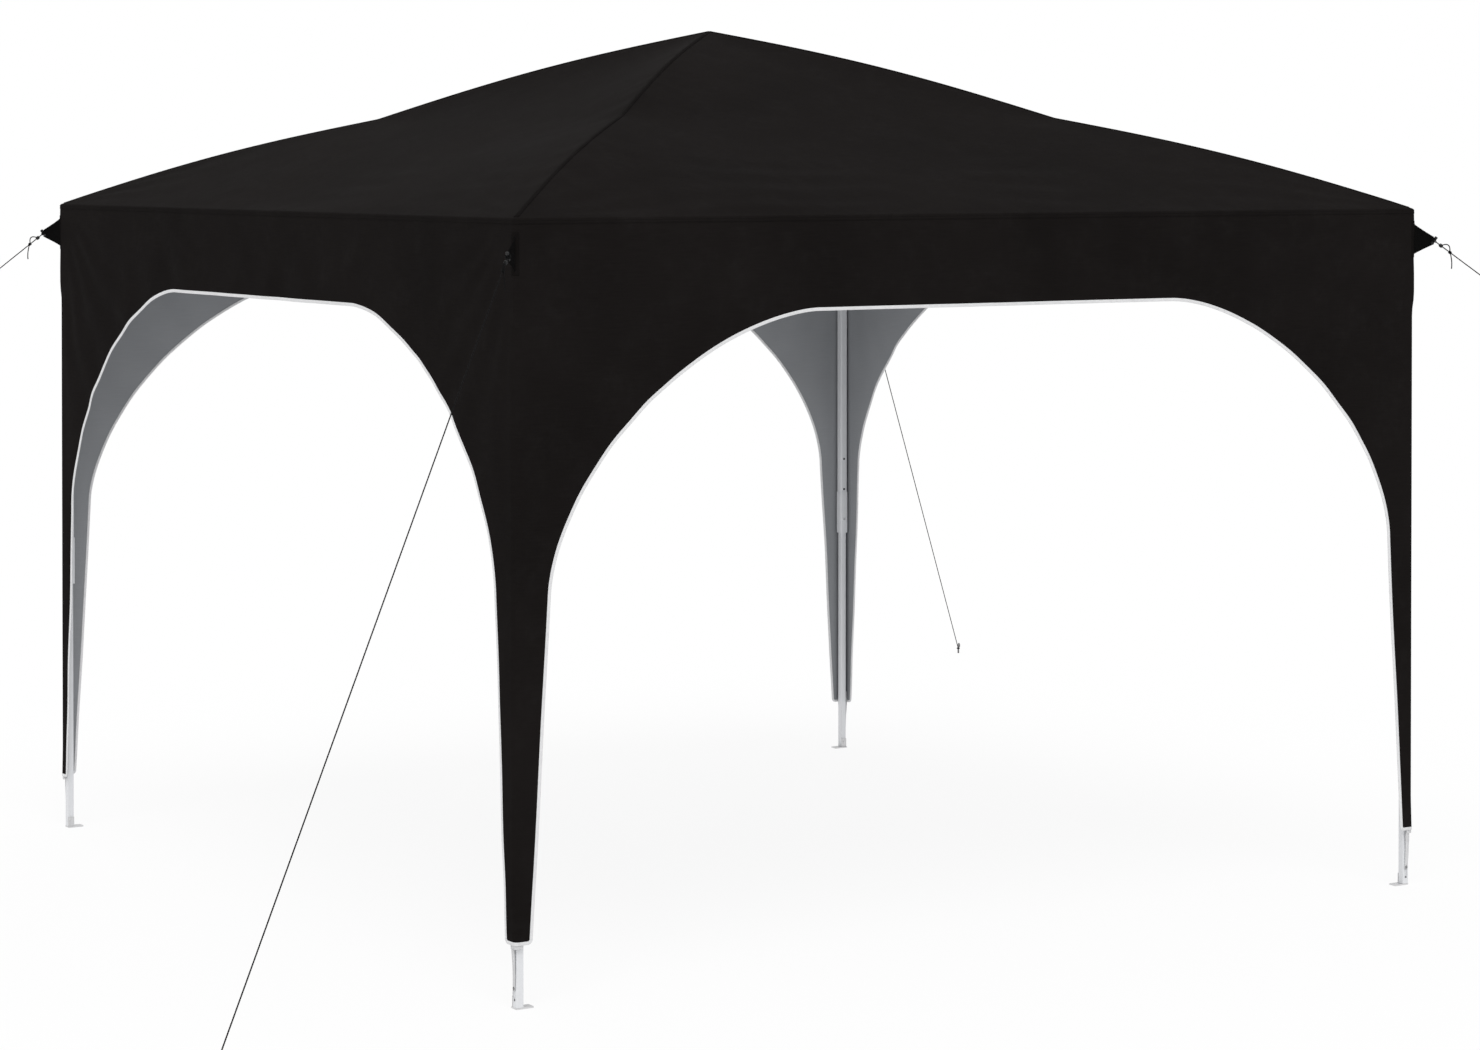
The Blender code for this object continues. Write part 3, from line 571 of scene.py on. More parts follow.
def swept(name, rings, closed=False):
    """A closed piece through rings of points (ring, side, xyz), with a map that runs along it in metres."""
    rings = np.asarray(rings, float)
    count, sides, _ = rings.shape
    faces = ring_faces(count, sides, closed)
    middle = rings.mean(axis=1)
    run = running(middle)
    lap = running(rings[0])
    lap_length = lap[-1] + np.linalg.norm(rings[0][0] - rings[0][-1])
    uvs = []
    for face in faces:
        for corner, point in enumerate(face):
            ring, side = divmod(point, sides)
            along = run[ring]
            if closed and ring == 0 and len(face) == 4 and max(face) >= (count - 1) * sides:
                along = run[-1] + np.linalg.norm(middle[0] - middle[-1])
            around = lap_length if len(face) == 4 and side == 0 and corner in (1, 2) else lap[side]
            uvs.append((along, around))
    piece = make_mesh(name, rings.reshape(-1, 3), faces, uvs)
    edit_mesh(piece, close_up)
    return piece


def full_turn(count):
    return np.linspace(0, FULL, count, endpoint=False)


def aside_of(axis):
    """A fixed direction that isn't along the axis."""
    return UP if abs(axis[2]) < 0.9 else np.array([1.0, 0.0, 0.0])


def circle_rows(centre, radius, first, second, sides):
    return [centre + radius * (math.cos(a) * first + math.sin(a) * second) for a in full_turn(sides)]


def round_tube(name, path, radius, sides=12, closed=False):
    """A tube along a path of points, with a steady frame; radius is one number or one for each point."""
    path = np.asarray(path, float)
    ahead = np.roll(path, -1, axis=0) - np.roll(path, 1, axis=0) if closed else np.gradient(path, axis=0)
    ahead = ahead / np.linalg.norm(ahead, axis=1)[:, None]
    helper = aside_of(ahead[0])
    normal = helper - ahead[0] * (helper @ ahead[0])
    rings = []
    for point, direction, size in zip(path, ahead, np.broadcast_to(np.asarray(radius, float), (len(path),))):
        normal = normal - direction * (normal @ direction)
        normal = normal / np.linalg.norm(normal)
        rings.append(circle_rows(point, size, normal, np.cross(direction, normal), sides))
    return swept(name, rings, closed)


def lathe(name, centre, axis, profile, sides=16):
    """A round button on a face: profile rows of (radius, height) above it, closed at both ends."""
    first = np.cross(aside_of(axis), axis)
    first = first / np.linalg.norm(first)
    second = np.cross(axis, first)
    rings = [circle_rows(centre + axis * high, wide, first, second, sides) for wide, high in profile]
    return swept(name, rings)


def mirrored(profile, start):
    """A profile of (place, size) rows from its first end, completed to the other end."""
    return profile + tuple((-place, size) for place, size in profile[start::-1])


def joined(name, pieces):
    """Several mesh objects as one, which keeps each one's material."""
    for piece in pieces:
        piece.select_set(True)
    bpy.context.view_layer.objects.active = pieces[0]
    with bpy.context.temp_override(active_object=pieces[0], selected_editable_objects=pieces):
        bpy.ops.object.join()
    pieces[0].name = name
    pieces[0].data.name = name
    pieces[0].select_set(False)
    return pieces[0]


def painted(piece, finish):
    piece.data.materials.clear()
    piece.data.materials.append(bpy.data.materials[finish])
    return piece


def finish_piece(piece, replaced=(), finish=None):
    """Give a finished piece its material, the nodes that it stands for and its body."""
    if finish is not None:
        painted(piece, finish)
    if replaced:
        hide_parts(*replaced)
    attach(piece, "tent")


# Node trees


class Net:
    """A node tree that is being built, with short ways to add the nodes that recur."""

    def __init__(self, tree):
        self.tree = tree

    def feed(self, value, socket):
        """Give a socket a plain value or another node's output."""
        if isinstance(value, bpy.types.NodeSocket):
            self.tree.links.new(value, socket)
        else:
            socket.default_value = value

    def add(self, kind, inputs=None, out=0, **settings):
        """A new node with its settings and inputs, of which one output is given back, or all of them."""
        made = self.tree.nodes.new(kind)
        for name, value in settings.items():
            setattr(made, name, value)
        for name, value in (inputs or {}).items():
            self.feed(value, made.inputs[name])
        return made.outputs if out is None else made.outputs[out]

    def group(self, name, inputs):
        return self.add("ShaderNodeGroup", inputs, None, node_tree=bpy.data.node_groups[name])

    def math(self, operation, first, second=0.0, clamp=False):
        return self.add("ShaderNodeMath", {0: first, 1: second}, operation=operation, use_clamp=clamp)

    def times(self, first, second):
        return self.math("MULTIPLY", first, second)

    def vector(self, operation, inputs):
        return self.add("ShaderNodeVectorMath", inputs, operation=operation)

    def mix(self, share, first, second):
        return self.add("ShaderNodeMix", {0: share, 6: first, 7: second}, 2, data_type="RGBA")

    def noise(self, vector, scale, detail=3.0, roughness=0.5):
        inputs = {"Vector": vector, "Scale": scale, "Detail": detail, "Roughness": roughness}
        return self.add("ShaderNodeTexNoise", inputs, "Fac")

    def remap(self, value, low, high, new_low=0.0, new_high=1.0):
        inputs = {"Value": value, "From Min": low, "From Max": high, "To Min": new_low, "To Max": new_high}
        return self.add("ShaderNodeMapRange", inputs)

    def steps(self, share, colour, darker, lighter):
        """The colour varied by a share, from darker times to lighter times itself."""
        low = (*[part * darker for part in colour], 1.0)
        high = (*[min(1.0, part * lighter) for part in colour], 1.0)
        return self.mix(share, low, high)


def start_group(kind, name, inputs, outputs):
    """An empty group's net and ends, with sockets given as (name, type) or (name, type, default)."""
    group = bpy.data.node_groups.new(name, kind)
    for way, sockets in (("INPUT", inputs), ("OUTPUT", outputs)):
        for title, socket, *value in sockets:
            made = group.interface.new_socket(title, in_out=way, socket_type="NodeSocket" + socket)
            if value:
                made.default_value = value[0]
    start, end = group.nodes.new("NodeGroupInput"), group.nodes.new("NodeGroupOutput")
    return Net(group), start.outputs, end.inputs


# Shader effects that several finishes share


def start_effect(name, inputs, outputs):
    sockets = [("Vector", "Vector")] + [(title, "Float", value) for title, value in inputs]
    net, given, out = start_group("ShaderNodeTree", name, sockets, [(title, "Float") for title in outputs])
    return net, given, out, given["Vector"]


def build_weave():
    """Plain weave: threads that pass over and under each other, and slightly uneven threads."""
    net, given, out, place = start_effect("plain_weave", [("Threads per metre", 1100.0)], ("Height", "Shade"))
    turns = net.times(given["Threads per metre"], math.pi)
    parts = net.add("ShaderNodeSeparateXYZ", {"Vector": place}, None)
    warp, weft = (net.math("SINE", net.times(parts[axis], turns)) for axis in "XY")
    net.feed(net.remap(net.times(warp, weft), -1.0, 1.0), out["Height"])
    stretched = net.add("ShaderNodeMapping", {"Vector": place, "Scale": (14.0, 420.0, 1.0)})
    net.feed(net.noise(stretched, 1.0, 2.0), out["Shade"])


def build_creases():
    """Fine crumples and soft folds of packed cloth, as a height in metres."""
    net, given, out, place = start_effect("packed_creases", [("Depth", 0.002)], ("Height", "Shade"))
    broad = net.noise(place, 2.3, 3.0, 0.55)
    inputs = {"Vector": place, "Scale": 5.0, "Randomness": 1.0}
    cells = net.add("ShaderNodeTexVoronoi", inputs, "Distance", feature="SMOOTH_F1")
    sharp = net.math("ABSOLUTE", net.math("SUBTRACT", net.noise(place, 16.0, 4.0, 0.6), 0.5))
    total = net.math("ADD", broad, net.times(cells, 0.35))
    total = net.math("SUBTRACT", total, net.times(sharp, 0.30))
    net.feed(net.times(total, given["Depth"]), out["Height"])
    # Shade is the soft folds' own height, which the cloth's colour follows as painted shade in the folds' low
    # parts.
    net.feed(broad, out["Shade"])


def build_wear():
    """Patches of wear and dust: a mask that is stronger near the ground."""
    inputs = [("Amount", 0.3), ("Grain", 60.0)]
    net, given, out, place = start_effect("handling_wear", inputs, ("Mask", "Shade"))
    patches = net.noise(place, 9.0, 4.0, 0.6)
    grain = net.noise(place, given["Grain"], 3.0, 0.6)
    height = net.add("ShaderNodeSeparateXYZ", {"Vector": place}, "Z")
    mask = net.times(net.remap(patches, 0.42, 0.75), net.remap(grain, 0.35, 0.7))
    mask = net.times(mask, net.remap(height, 0.0, 0.35, 1.0, 0.35))
    net.feed(net.math("MULTIPLY", mask, given["Amount"], clamp=True), out["Mask"])
    net.feed(patches, out["Shade"])


def build_ripple():
    """The small ripple of powder coat and of moulded plastic, as a height in metres."""
    net, given, out, place = start_effect("fine_ripple", [("Scale", 500.0), ("Depth", 0.00002)], ("Height",))
    net.feed(net.times(net.noise(place, given["Scale"], 2.0), given["Depth"]), out["Height"])


def build_ribs():
    """Fine ribs across a woven band, which follow its own map."""
    net, given, out, place = start_effect("webbing_ribs", [("Ribs per metre", 900.0)], ("Height", "Shade"))
    parts = net.add("ShaderNodeSeparateXYZ", {"Vector": place}, None)
    turns = net.times(given["Ribs per metre"], FULL)
    rib, row = (net.math("SINE", net.times(parts[axis], turns)) for axis in "XY")
    net.feed(net.remap(net.math("ADD", rib, net.times(row, 0.4)), -1.4, 1.4), out["Height"])
    net.feed(net.noise(place, 70.0, 3.0), out["Shade"])


# Finishes


def start_finish(name, fixed):
    """A material whose constants are set on the shader's own sockets: its net, sockets and texture places."""
    old = bpy.data.materials.get(name)
    if old is not None:
        bpy.data.materials.remove(old)
    material = bpy.data.materials.new(name)
    material.use_nodes = True
    net = Net(material.node_tree)
    shader = material.node_tree.nodes["Principled BSDF"].inputs
    for socket, value in fixed.items():
        shader[socket].default_value = value
    return net, shader, net.add("ShaderNodeTexCoord", None, None)


def end_finish(net, shader, colour, roughness, heights):
    """Feed the shader; heights are (height, distance in metres) pairs whose bumps are stacked."""
    bump = {"Strength": 1.0}
    for height, distance in heights:
        bump.update({"Height": height, "Distance": distance})
        bump["Normal"] = net.add("ShaderNodeBump", bump)
    for socket, value in (("Base Color", colour), ("Roughness", roughness), ("Normal", bump["Normal"])):
        net.feed(value, shader[socket])


def worn(net, places, amount, grain):
    return net.group("handling_wear", {"Vector": places["Object"], "Amount": amount, "Grain": grain})


def rippled(net, places, scale, depth):
    return net.group("fine_ripple", {"Vector": places["Object"], "Scale": scale, "Depth": depth})["Height"]


def scaled(colour, factor, added=0.0):
    return (*[part * factor + added for part in colour], 1.0)


def coated_cloth(name, colour, fixed, roughness, crease_depth, variation):
    """Woven cloth under a thin coat, with soft creases whose low parts take painted shade, and a little dust
    near the ground.
    """
    net, shader, places = start_finish(name, fixed)
    threads = 1.0 / settings_of("cloth").weave_pitch
    weave = net.group("plain_weave", {"Vector": places["UV"], "Threads per metre": threads})
    crease = net.group("packed_creases", {"Vector": places["Object"], "Depth": crease_depth})
    wear = worn(net, places, 0.5, 40.0)
    # The colour mixes the threads' uneven tone, which is random, with the soft folds' height as painted
    # shade.
    shade = net.math("ADD", net.times(weave["Shade"], 0.4), net.times(crease["Shade"], 0.6))
    base = net.steps(net.remap(shade, 0.3, 0.7), colour, 1 - variation, 1 + variation)
    base = net.mix(net.times(wear["Mask"], 0.5), base, scaled(colour, 1.0, 0.03))
    rough = net.remap(crease["Shade"], 0.25, 0.75, roughness - 0.06, roughness + 0.06)
    end_finish(net, shader, base, rough, [(crease["Height"], 1.0), (weave["Height"], 0.00004)])


def woven_band(name, colour, fixed, roughness, ribs, depth=0.0002, variation=0.12):
    """Ribbed tape or webbing with painted shade in its grooves, and darker where it is grubby."""
    net, shader, places = start_finish(name, fixed)
    rib = net.group("webbing_ribs", {"Vector": places["UV"], "Ribs per metre": ribs})
    wear = worn(net, places, 0.8, 90.0)
    base = net.steps(rib["Shade"], colour, 1 - variation, 1 + variation)
    # Painted shade: the colour is darkened in the grooves between the ribs, following the ribs' height.
    base = net.mix(0.5, base, net.steps(rib["Height"], colour, 0.72, 1.0))
    base = net.mix(wear["Mask"], base, scaled(colour, 0.6))
    rough = net.remap(rib["Shade"], 0.2, 0.8, roughness - 0.07, roughness + 0.07)
    end_finish(net, shader, base, rough, [(rib["Height"], depth)])


def coated_metal(name, colour, roughness, bare, amount, ripple=400.0, depth=0.00003, metallic=0.0):
    """Metal under paint or plating, which shows bare where it is worn."""
    net, shader, places = start_finish(name, GLOSS)
    wear = worn(net, places, amount, 130.0)
    height = rippled(net, places, ripple, depth)
    base = net.mix(wear["Mask"], net.steps(wear["Shade"], colour, 0.93, 1.05), (*bare, 1.0))
    rough = net.remap(wear["Shade"], 0.25, 0.75, roughness - 0.05, roughness + 0.08)
    net.feed(net.remap(wear["Mask"], 0.0, 1.0, metallic, 0.9), shader["Metallic"])
    end_finish(net, shader, base, rough, [(height, 1.0)])


def moulded_plastic(name, colour, roughness, fixed):
    """Plastic with a fine ripple and paler scuffs."""
    net, shader, places = start_finish(name, fixed)
    wear = worn(net, places, 0.6, 150.0)
    height = rippled(net, places, 900.0, 0.00004)
    base = net.mix(wear["Mask"], net.steps(wear["Shade"], colour, 0.92, 1.08), scaled(colour, 1.1, 0.02))
    rough = net.remap(wear["Mask"], 0.0, 1.0, roughness, roughness + 0.2)
    end_finish(net, shader, base, rough, [(height, 1.0)])


def spun_thread(name, colour, roughness=0.7, shine=0.25):
    """Thread or rope fibre, a little uneven in shade."""
    net, shader, places = start_finish(name, {"Sheen Weight": 0.4 * shine, "Specular IOR Level": shine})
    noise = net.noise(places["Object"], 700.0, 2.0)
    rough = net.remap(noise, 0.2, 0.8, roughness - 0.1, roughness + 0.1)
    end_finish(net, shader, net.steps(noise, colour, 0.75, 1.2), rough, [(noise, 0.0001)])


MATT = {"Specular IOR Level": 0.006, "Sheen Weight": 0.004, "Sheen Roughness": 0.4}
COATING = {"Specular IOR Level": 0.30, "Sheen Weight": 0.0}
FABRIC = {"Specular IOR Level": 0.20, "Sheen Weight": 0.15, "Sheen Roughness": 0.5}
GLOSS = {"Specular IOR Level": 0.45, "Coat Weight": 0.15, "Coat Roughness": 0.3}


def build_finishes():
    """Every finish, by the name that the pieces use."""
    cloth, trim, frame_colours = (settings_of(kind) for kind in ("cloth", "trim", "frame"))
    coated_cloth("canopy_outside", cloth.colour, MATT, 0.72, 0.0030, 0.22)
    coated_cloth("canopy_lining", cloth.lining_colour, COATING, 0.50, 0.0022, 0.07)
    # Painted shade: a darker copy of the outside cloth, so that the hip seams and the tabs' patches read as
    # dark shadow lines.
    coated_cloth("seam_cloth", tuple(part * 0.75 for part in cloth.colour), MATT, 0.78, 0.0008, 0.22)
    woven_band("edge_tape", trim.tape_colour, FABRIC, 0.75, 1100.0)
    woven_band("black_webbing", (0.0055, 0.0052, 0.0052), MATT, 0.80, 700.0, 0.0004, 0.3)
    woven_band("strap_webbing", trim.strap_colour, FABRIC, 0.75, 800.0, 0.0003)
    spun_thread("black_thread", (0.005, 0.005, 0.005), 0.8, 0.02)
    spun_thread("white_thread", (0.78, 0.78, 0.78))
    spun_thread("rope_fibre", settings_of("rope").colour, 0.8, 0.05)
    coated_metal("powder_coated_tube", frame_colours.steel_colour, 0.36, (0.45, 0.45, 0.46), 0.25)
    coated_metal("zinc_plate", (0.66, 0.66, 0.67), 0.38, (0.35, 0.34, 0.33), 0.6, 260.0, 0.00006, 0.55)
    coated_metal("dark_steel", (0.16, 0.16, 0.17), 0.38, (0.30, 0.24, 0.19), 0.5, 300.0, 0.00006, 0.85)
    coated_metal("bright_steel", (0.55, 0.55, 0.57), 0.30, (0.35, 0.34, 0.33), 0.3, 300.0, 0.00003, 0.95)
    moulded_plastic("sleeve_plastic", frame_colours.sleeve_colour, 0.42, GLOSS)
    moulded_plastic("bracket_plastic", frame_colours.bracket_colour, 0.45, GLOSS)
    moulded_plastic("dark_plastic", (0.006, 0.006, 0.0064), 0.36, {"Specular IOR Level": 0.30})


# Geometry Nodes for what repeats or follows a line


def start_tree(name, inputs):
    """An empty geometry tree with a few numbers and a material as its inputs."""
    geometry = ("Geometry", "Geometry")
    sockets = [geometry] + [(title, "Float") for title in inputs] + [("Material", "Material")]
    return start_group("GeometryNodeTree", name, sockets, [geometry])


def spaced_line(net, given, spacing):
    line = net.add("GeometryNodeMeshToCurve", {"Mesh": given["Geometry"]})
    return net.add("GeometryNodeResampleCurve", {"Curve": line, "Length": given[spacing]}, mode="LENGTH")


def end_tree(net, geometry, given, out):
    solid = net.add("GeometryNodeRealizeInstances", {"Geometry": geometry})
    inputs = {"Geometry": solid, "Material": given["Material"]}
    net.feed(net.add("GeometryNodeSetMaterial", inputs), out["Geometry"])


def build_stitch_tree():
    """A row of small rounded stitches along each line of the input."""
    net, given, out = start_tree("stitch_row", ("Pitch", "Length", "Thickness"))
    size = {"X": given["Length"], "Y": given["Thickness"], "Z": given["Thickness"]}
    inputs = {
        "Points": spaced_line(net, given, "Pitch"),
        "Instance": net.add("GeometryNodeMeshIcoSphere", {"Radius": 0.5, "Subdivisions": 1}),
        "Rotation": aligned(net, net.add("GeometryNodeInputTangent"), "X"),
        "Scale": net.add("ShaderNodeCombineXYZ", size),
    }
    end_tree(net, net.add("GeometryNodeInstanceOnPoints", inputs), given, out)


def aligned(net, direction, axis):
    return net.add("FunctionNodeAlignRotationToVector", {"Vector": direction}, axis=axis)


def build_rope_tree():
    """A laid rope of three strands along each line of the input."""
    net, given, out = start_tree("laid_rope", ("Diameter", "Twist pitch", "Step"))
    spaced = spaced_line(net, given, "Step")
    run = net.add("GeometryNodeSplineParameter", out="Length")
    normal = net.add("GeometryNodeInputNormal")
    other = net.vector("CROSS_PRODUCT", {0: net.add("GeometryNodeInputTangent"), 1: normal})
    turns = net.math("DIVIDE", net.times(run, FULL), given["Twist pitch"])
    lay = net.times(given["Diameter"], 0.26)
    inputs = {"Resolution": 5, "Radius": net.times(given["Diameter"], 0.25)}
    circle = net.add("GeometryNodeCurvePrimitiveCircle", inputs)
    strands = net.tree.nodes.new("GeometryNodeJoinGeometry")
    for strand in range(3):
        angle = net.math("ADD", turns, strand * FULL / 3)
        along, aside = (
            net.vector("SCALE", {0: direction, "Scale": net.times(net.math(wave, angle), lay)})
            for direction, wave in ((normal, "COSINE"), (other, "SINE"))
        )
        offset = net.vector("ADD", {0: along, 1: aside})
        moved = net.add("GeometryNodeSetPosition", {"Geometry": spaced, "Offset": offset})
        inputs = {"Curve": moved, "Profile Curve": circle, "Fill Caps": True}
        net.feed(net.add("GeometryNodeCurveToMesh", inputs), strands.inputs["Geometry"])
    end_tree(net, strands.outputs["Geometry"], given, out)


def build_head_tree():
    """A low round rivet head on each point, turned to the point's facing."""
    net, given, out = start_tree("round_heads", ("Radius", "Height"))
    top = net.times(given["Radius"], 0.58)
    inputs = {"Vertices": 12, "Radius Top": top, "Radius Bottom": given["Radius"], "Depth": given["Height"]}
    dome = net.add("GeometryNodeMeshCone", inputs)
    kept = {"Name": "facing"}
    facing = net.add("GeometryNodeInputNamedAttribute", kept, "Attribute", data_type="FLOAT_VECTOR")
    inputs = {"Points": given["Geometry"], "Instance": dome, "Rotation": aligned(net, facing, "Z")}
    end_tree(net, net.add("GeometryNodeInstanceOnPoints", inputs), given, out)


def run_tree(name, tree_name, points, lines, inputs, facing=None):
    """Put points and lines through a tree, and keep the result as a plain mesh object at the origin."""
    mesh = bpy.data.meshes.new(name)
    mesh.from_pydata([tuple(point) for point in points], lines, [])
    if facing is not None:
        layer = mesh.attributes.new("facing", "FLOAT_VECTOR", "POINT")
        layer.data.foreach_set("vector", np.asarray(facing, np.float32).ravel())
    piece = link_piece(name, mesh)
    modifier = piece.modifiers.new(tree_name, "NODES")
    modifier.node_group = bpy.data.node_groups[tree_name]
    for item in modifier.node_group.interface.items_tree:
        if item.in_out == "INPUT" and item.name in inputs:
            modifier[item.identifier] = inputs[item.name]
    made = bpy.data.meshes.new_from_object(piece.evaluated_get(bpy.context.evaluated_depsgraph_get()))
    made.name = name
    piece.modifiers.remove(modifier)
    piece.data = made
    bpy.data.meshes.remove(mesh)
    made.shade_smooth()
    return piece


def joined_lines(parts):
    """Points and edges of several lines, given as (points, closed)."""
    points, lines = [], []
    for part, closed in parts:
        start, end = len(points), len(points) + len(part) - 1
        lines += [(place, place + 1) for place in range(start, end)]
        if closed:
            lines.append((end, start))
        points += [tuple(point) for point in part]
    return points, lines


def stitch(name, parts, thread, thickness=STITCH):
    trim = settings_of("trim")
    inputs = {"Pitch": trim.stitch_pitch, "Length": trim.stitch_length, "Thickness": thickness}
    inputs["Material"] = bpy.data.materials[thread]
    return run_tree(name, "stitch_row", *joined_lines(parts), inputs)


class PrepareFinishes(bpy.types.Operator):
    """Make the shader groups, the geometry trees and every finish"""

    bl_idname = "party_tent.prepare_finishes"
    bl_label = "Materials"

    def execute(self, context):
        for build in (build_weave, build_creases, build_wear, build_ripple, build_ribs):
            build()
        for build in (build_stitch_tree, build_rope_tree, build_head_tree):
            build()
        build_finishes()
        return {"FINISHED"}


# Canopy cover


def eave_places():
    """Distances from the middle of half an eave, from the corner inwards, closer together at the corner."""
    return CLOTH_HALF * (1 - np.linspace(0, 1, ROOF_CELLS + 1) ** EAVE_GRADING)


def both_ways(half):
    """Places along a whole side from those along half of it."""
    return np.concatenate([-half, half[::-1][1:]])


def across_shares(length):
    """Shares of each line's length where its points lie: close together at the fold, even on short lines."""
    near = np.minimum(np.array(FOLD_PLACES), length * np.arange(len(FOLD_PLACES)) / ACROSS_CELLS) / length
    ease = 0.85 * smooth_step(length, 0.08, 0.5)
    share = np.linspace(0, 1, ACROSS_CELLS + 2 - len(FOLD_PLACES))[None, 1:]
    share = ease * share * share * (3 - 2 * share) + (1 - ease) * share
    return np.concatenate([near, near[:, -1:] + (1 - near[:, -1:]) * share], axis=1)


def side_lines():
    """Rows of (distance from the corner, height) across half a side, from the corner to the cut edge."""
    hem = hem_corner(np.linspace(0, QUARTER, 5)[:-1])
    leg = np.array(leg_edge(np.linspace(LEG_COVER_LOW, ARCH_SPRING, LEG_LINES + 1)))
    top = EAVE_HEIGHT - EAVE_ROUNDING
    shoulder = [(0.0, height) for height in np.linspace(ARCH_SPRING, top, SHOULDER_LINES + 1)]
    shoulder = np.array(shoulder + [(CLOTH_HALF - along, top) for along in eave_places()[1:]])
    flat = [(across, ARCH_TOP) for across in np.linspace(ARCH_FLAT_START, CLOTH_HALF, 300)[1:]]
    line = np.concatenate([arch_points(800), flat])
    run = running(shoulder)[1:]
    arch = along_line(line, run / run[-1] * running(line)[-1])
    inner = np.concatenate([hem, leg, arch])
    outer = np.concatenate([np.concatenate([hem, leg])[:-1] * (0, 1), shoulder])
    share = across_shares(np.linalg.norm(inner - outer, axis=1)[:, None])[..., None]
    return outer[:, None, :] * (1 - share) + inner[:, None, :] * share


def grid_faces(rows, columns, start, flip):
    faces = []
    for row in range(rows - 1):
        for column in range(columns - 1):
            first = start + row * columns + column
            face = (first, first + 1, first + columns + 1, first + columns)
            faces.append(face[::-1] if flip else face)
    return faces


def cover_sides():
    """Grids of the four sides, as (points, faces, flat places)."""
    lines = side_lines()
    height = lines[..., 1].ravel()
    for number in range(4):
        for hand in (-1, 1):
            x = hand * (CLOTH_HALF - lines[..., 0].ravel())
            flat = np.stack([x + MAP_STEP * number, height], axis=-1)
            yield side_surface(number, x, height), grid_faces(*lines.shape[:2], 0, hand > 0), flat


def cover_eave():
    """Grids of the narrow rounding between the sides and the roof."""
    along = both_ways(eave_places())
    angles = (0.0, QUARTER / 2, QUARTER)
    low = EAVE_HEIGHT - EAVE_ROUNDING
    rim = CLOTH_HALF - EAVE_ROUNDING
    top = roof_height(np.full(len(along), rim), abs(along) * rim / CLOTH_HALF)
    for number in range(4):
        points, flats = [], []
        for angle in angles:
            height = low + (top - low) * math.sin(angle)
            share = 1 - EAVE_ROUNDING * (1 - math.cos(angle)) / CLOTH_HALF
            place, out, _, _ = rounded_side(along * share, CLOTH_HALF * share, fold_radius(height))
            points.append(turned(np.stack([place, out, height], axis=-1), number))
            flats.append(np.stack([along + MAP_STEP * number, height + EAVE_ROUNDING * angle], axis=-1))
        yield np.concatenate(points), grid_faces(len(angles), len(along), 0, False), np.concatenate(flats)


def cover_roof():
    """The roof as one grid whose diagonals are the hips: its points, faces and flat places."""
    along = both_ways(eave_places() * (1 - EAVE_ROUNDING / CLOTH_HALF))
    count = len(along)
    x, y = (part.ravel() for part in np.meshgrid(along, along, indexing="ij"))
    faces = []
    for i in range(count - 1):
        for j in range(count - 1):
            a, b = i * count + j, (i + 1) * count + j
            if i == j:
                faces += [(a, b, b + 1), (a, b + 1, a + 1)]
            elif i + j == count - 2:
                faces += [(a, b, a + 1), (b, b + 1, a + 1)]
            else:
                faces.append((a, b, b + 1, a + 1))
    slope = math.hypot(1.0, (PEAK_HEIGHT - EAVE_HEIGHT) / CLOTH_HALF)
    uvs = []
    for face in faces:
        steep = abs(sum(y[point] for point in face)) >= abs(sum(x[point] for point in face))
        across, up, shift = (x, y, 0.0) if steep else (y, x, MAP_STEP)
        uvs += [(across[p] + shift, MAP_ROOF + (CLOTH_HALF - abs(up[p])) * slope) for p in face]
    return roof_surface(x, y), faces, uvs


def build_cover():
    """The roof, valances and leg covers as one welded sheet, thickened to a closed shell."""
    points, faces, uvs = [], [], []
    start = 0
    for part, part_faces, flat in (*cover_sides(), *cover_eave()):
        faces += [tuple(point + start for point in face) for face in part_faces]
        uvs += [flat[point] for face in part_faces for point in face]
        points.append(part)
        start += len(part)
    roof, roof_faces, roof_uvs = cover_roof()
    faces += [tuple(point + start for point in face) for face in roof_faces]
    sheet = make_mesh("cover_sheet", np.concatenate([*points, roof]), faces, uvs + roof_uvs)
    edit_mesh(sheet, weld)
    cover = thickened(sheet, "canopy_cover", settings_of("cloth").thickness)
    for finish in ("canopy_outside", "canopy_lining"):
        cover.data.materials.append(bpy.data.materials[finish])
    return cover


def read_rows(source, name, width):
    """A property of all items of a mesh's list, as rows."""
    values = np.empty(len(source) * width)
    source.foreach_get(name, values)
    return values.reshape(-1, width)


def thickened(sheet, name, thickness):
    """A closed shell from an outer sheet, whose inner face and cut edge take the second material."""
    mesh = sheet.data
    count = len(mesh.vertices)
    outer = read_rows(mesh.vertices, "co", 3)
    inner = outer - thickness * read_rows(mesh.vertex_normals, "vector", 3)
    flat = read_rows(mesh.uv_layers[0].data, "uv", 2)
    faces = [tuple(face.vertices) for face in mesh.polygons]
    back_faces, back_flats, used = [], [], {}
    for face in mesh.polygons:
        corners, loops = list(face.vertices), list(face.loop_indices)
        back_faces.append(tuple(point + count for point in corners[:1] + corners[:0:-1]))
        back_flats += [flat[loop] for loop in loops[:1] + loops[:0:-1]]
        for place, point in enumerate(corners):
            following = (place + 1) % len(corners)
            used[point, corners[following]] = (flat[loops[place]], flat[loops[following]])
    rim_faces, rim_flats = [], []
    for (first, second), (first_flat, second_flat) in used.items():
        if (second, first) not in used:
            rim_faces.append((second, first, first + count, second + count))
            rim_flats += [second_flat, first_flat, first_flat, second_flat]
    uvs = np.concatenate([flat, back_flats, rim_flats])
    piece = make_mesh(name, np.concatenate([outer, inner]), faces + back_faces + rim_faces, uvs)
    inside = [0] * len(faces) + [1] * (len(back_faces) + len(rim_faces))
    piece.data.polygons.foreach_set("material_index", inside)
    bpy.data.objects.remove(sheet)
    return piece


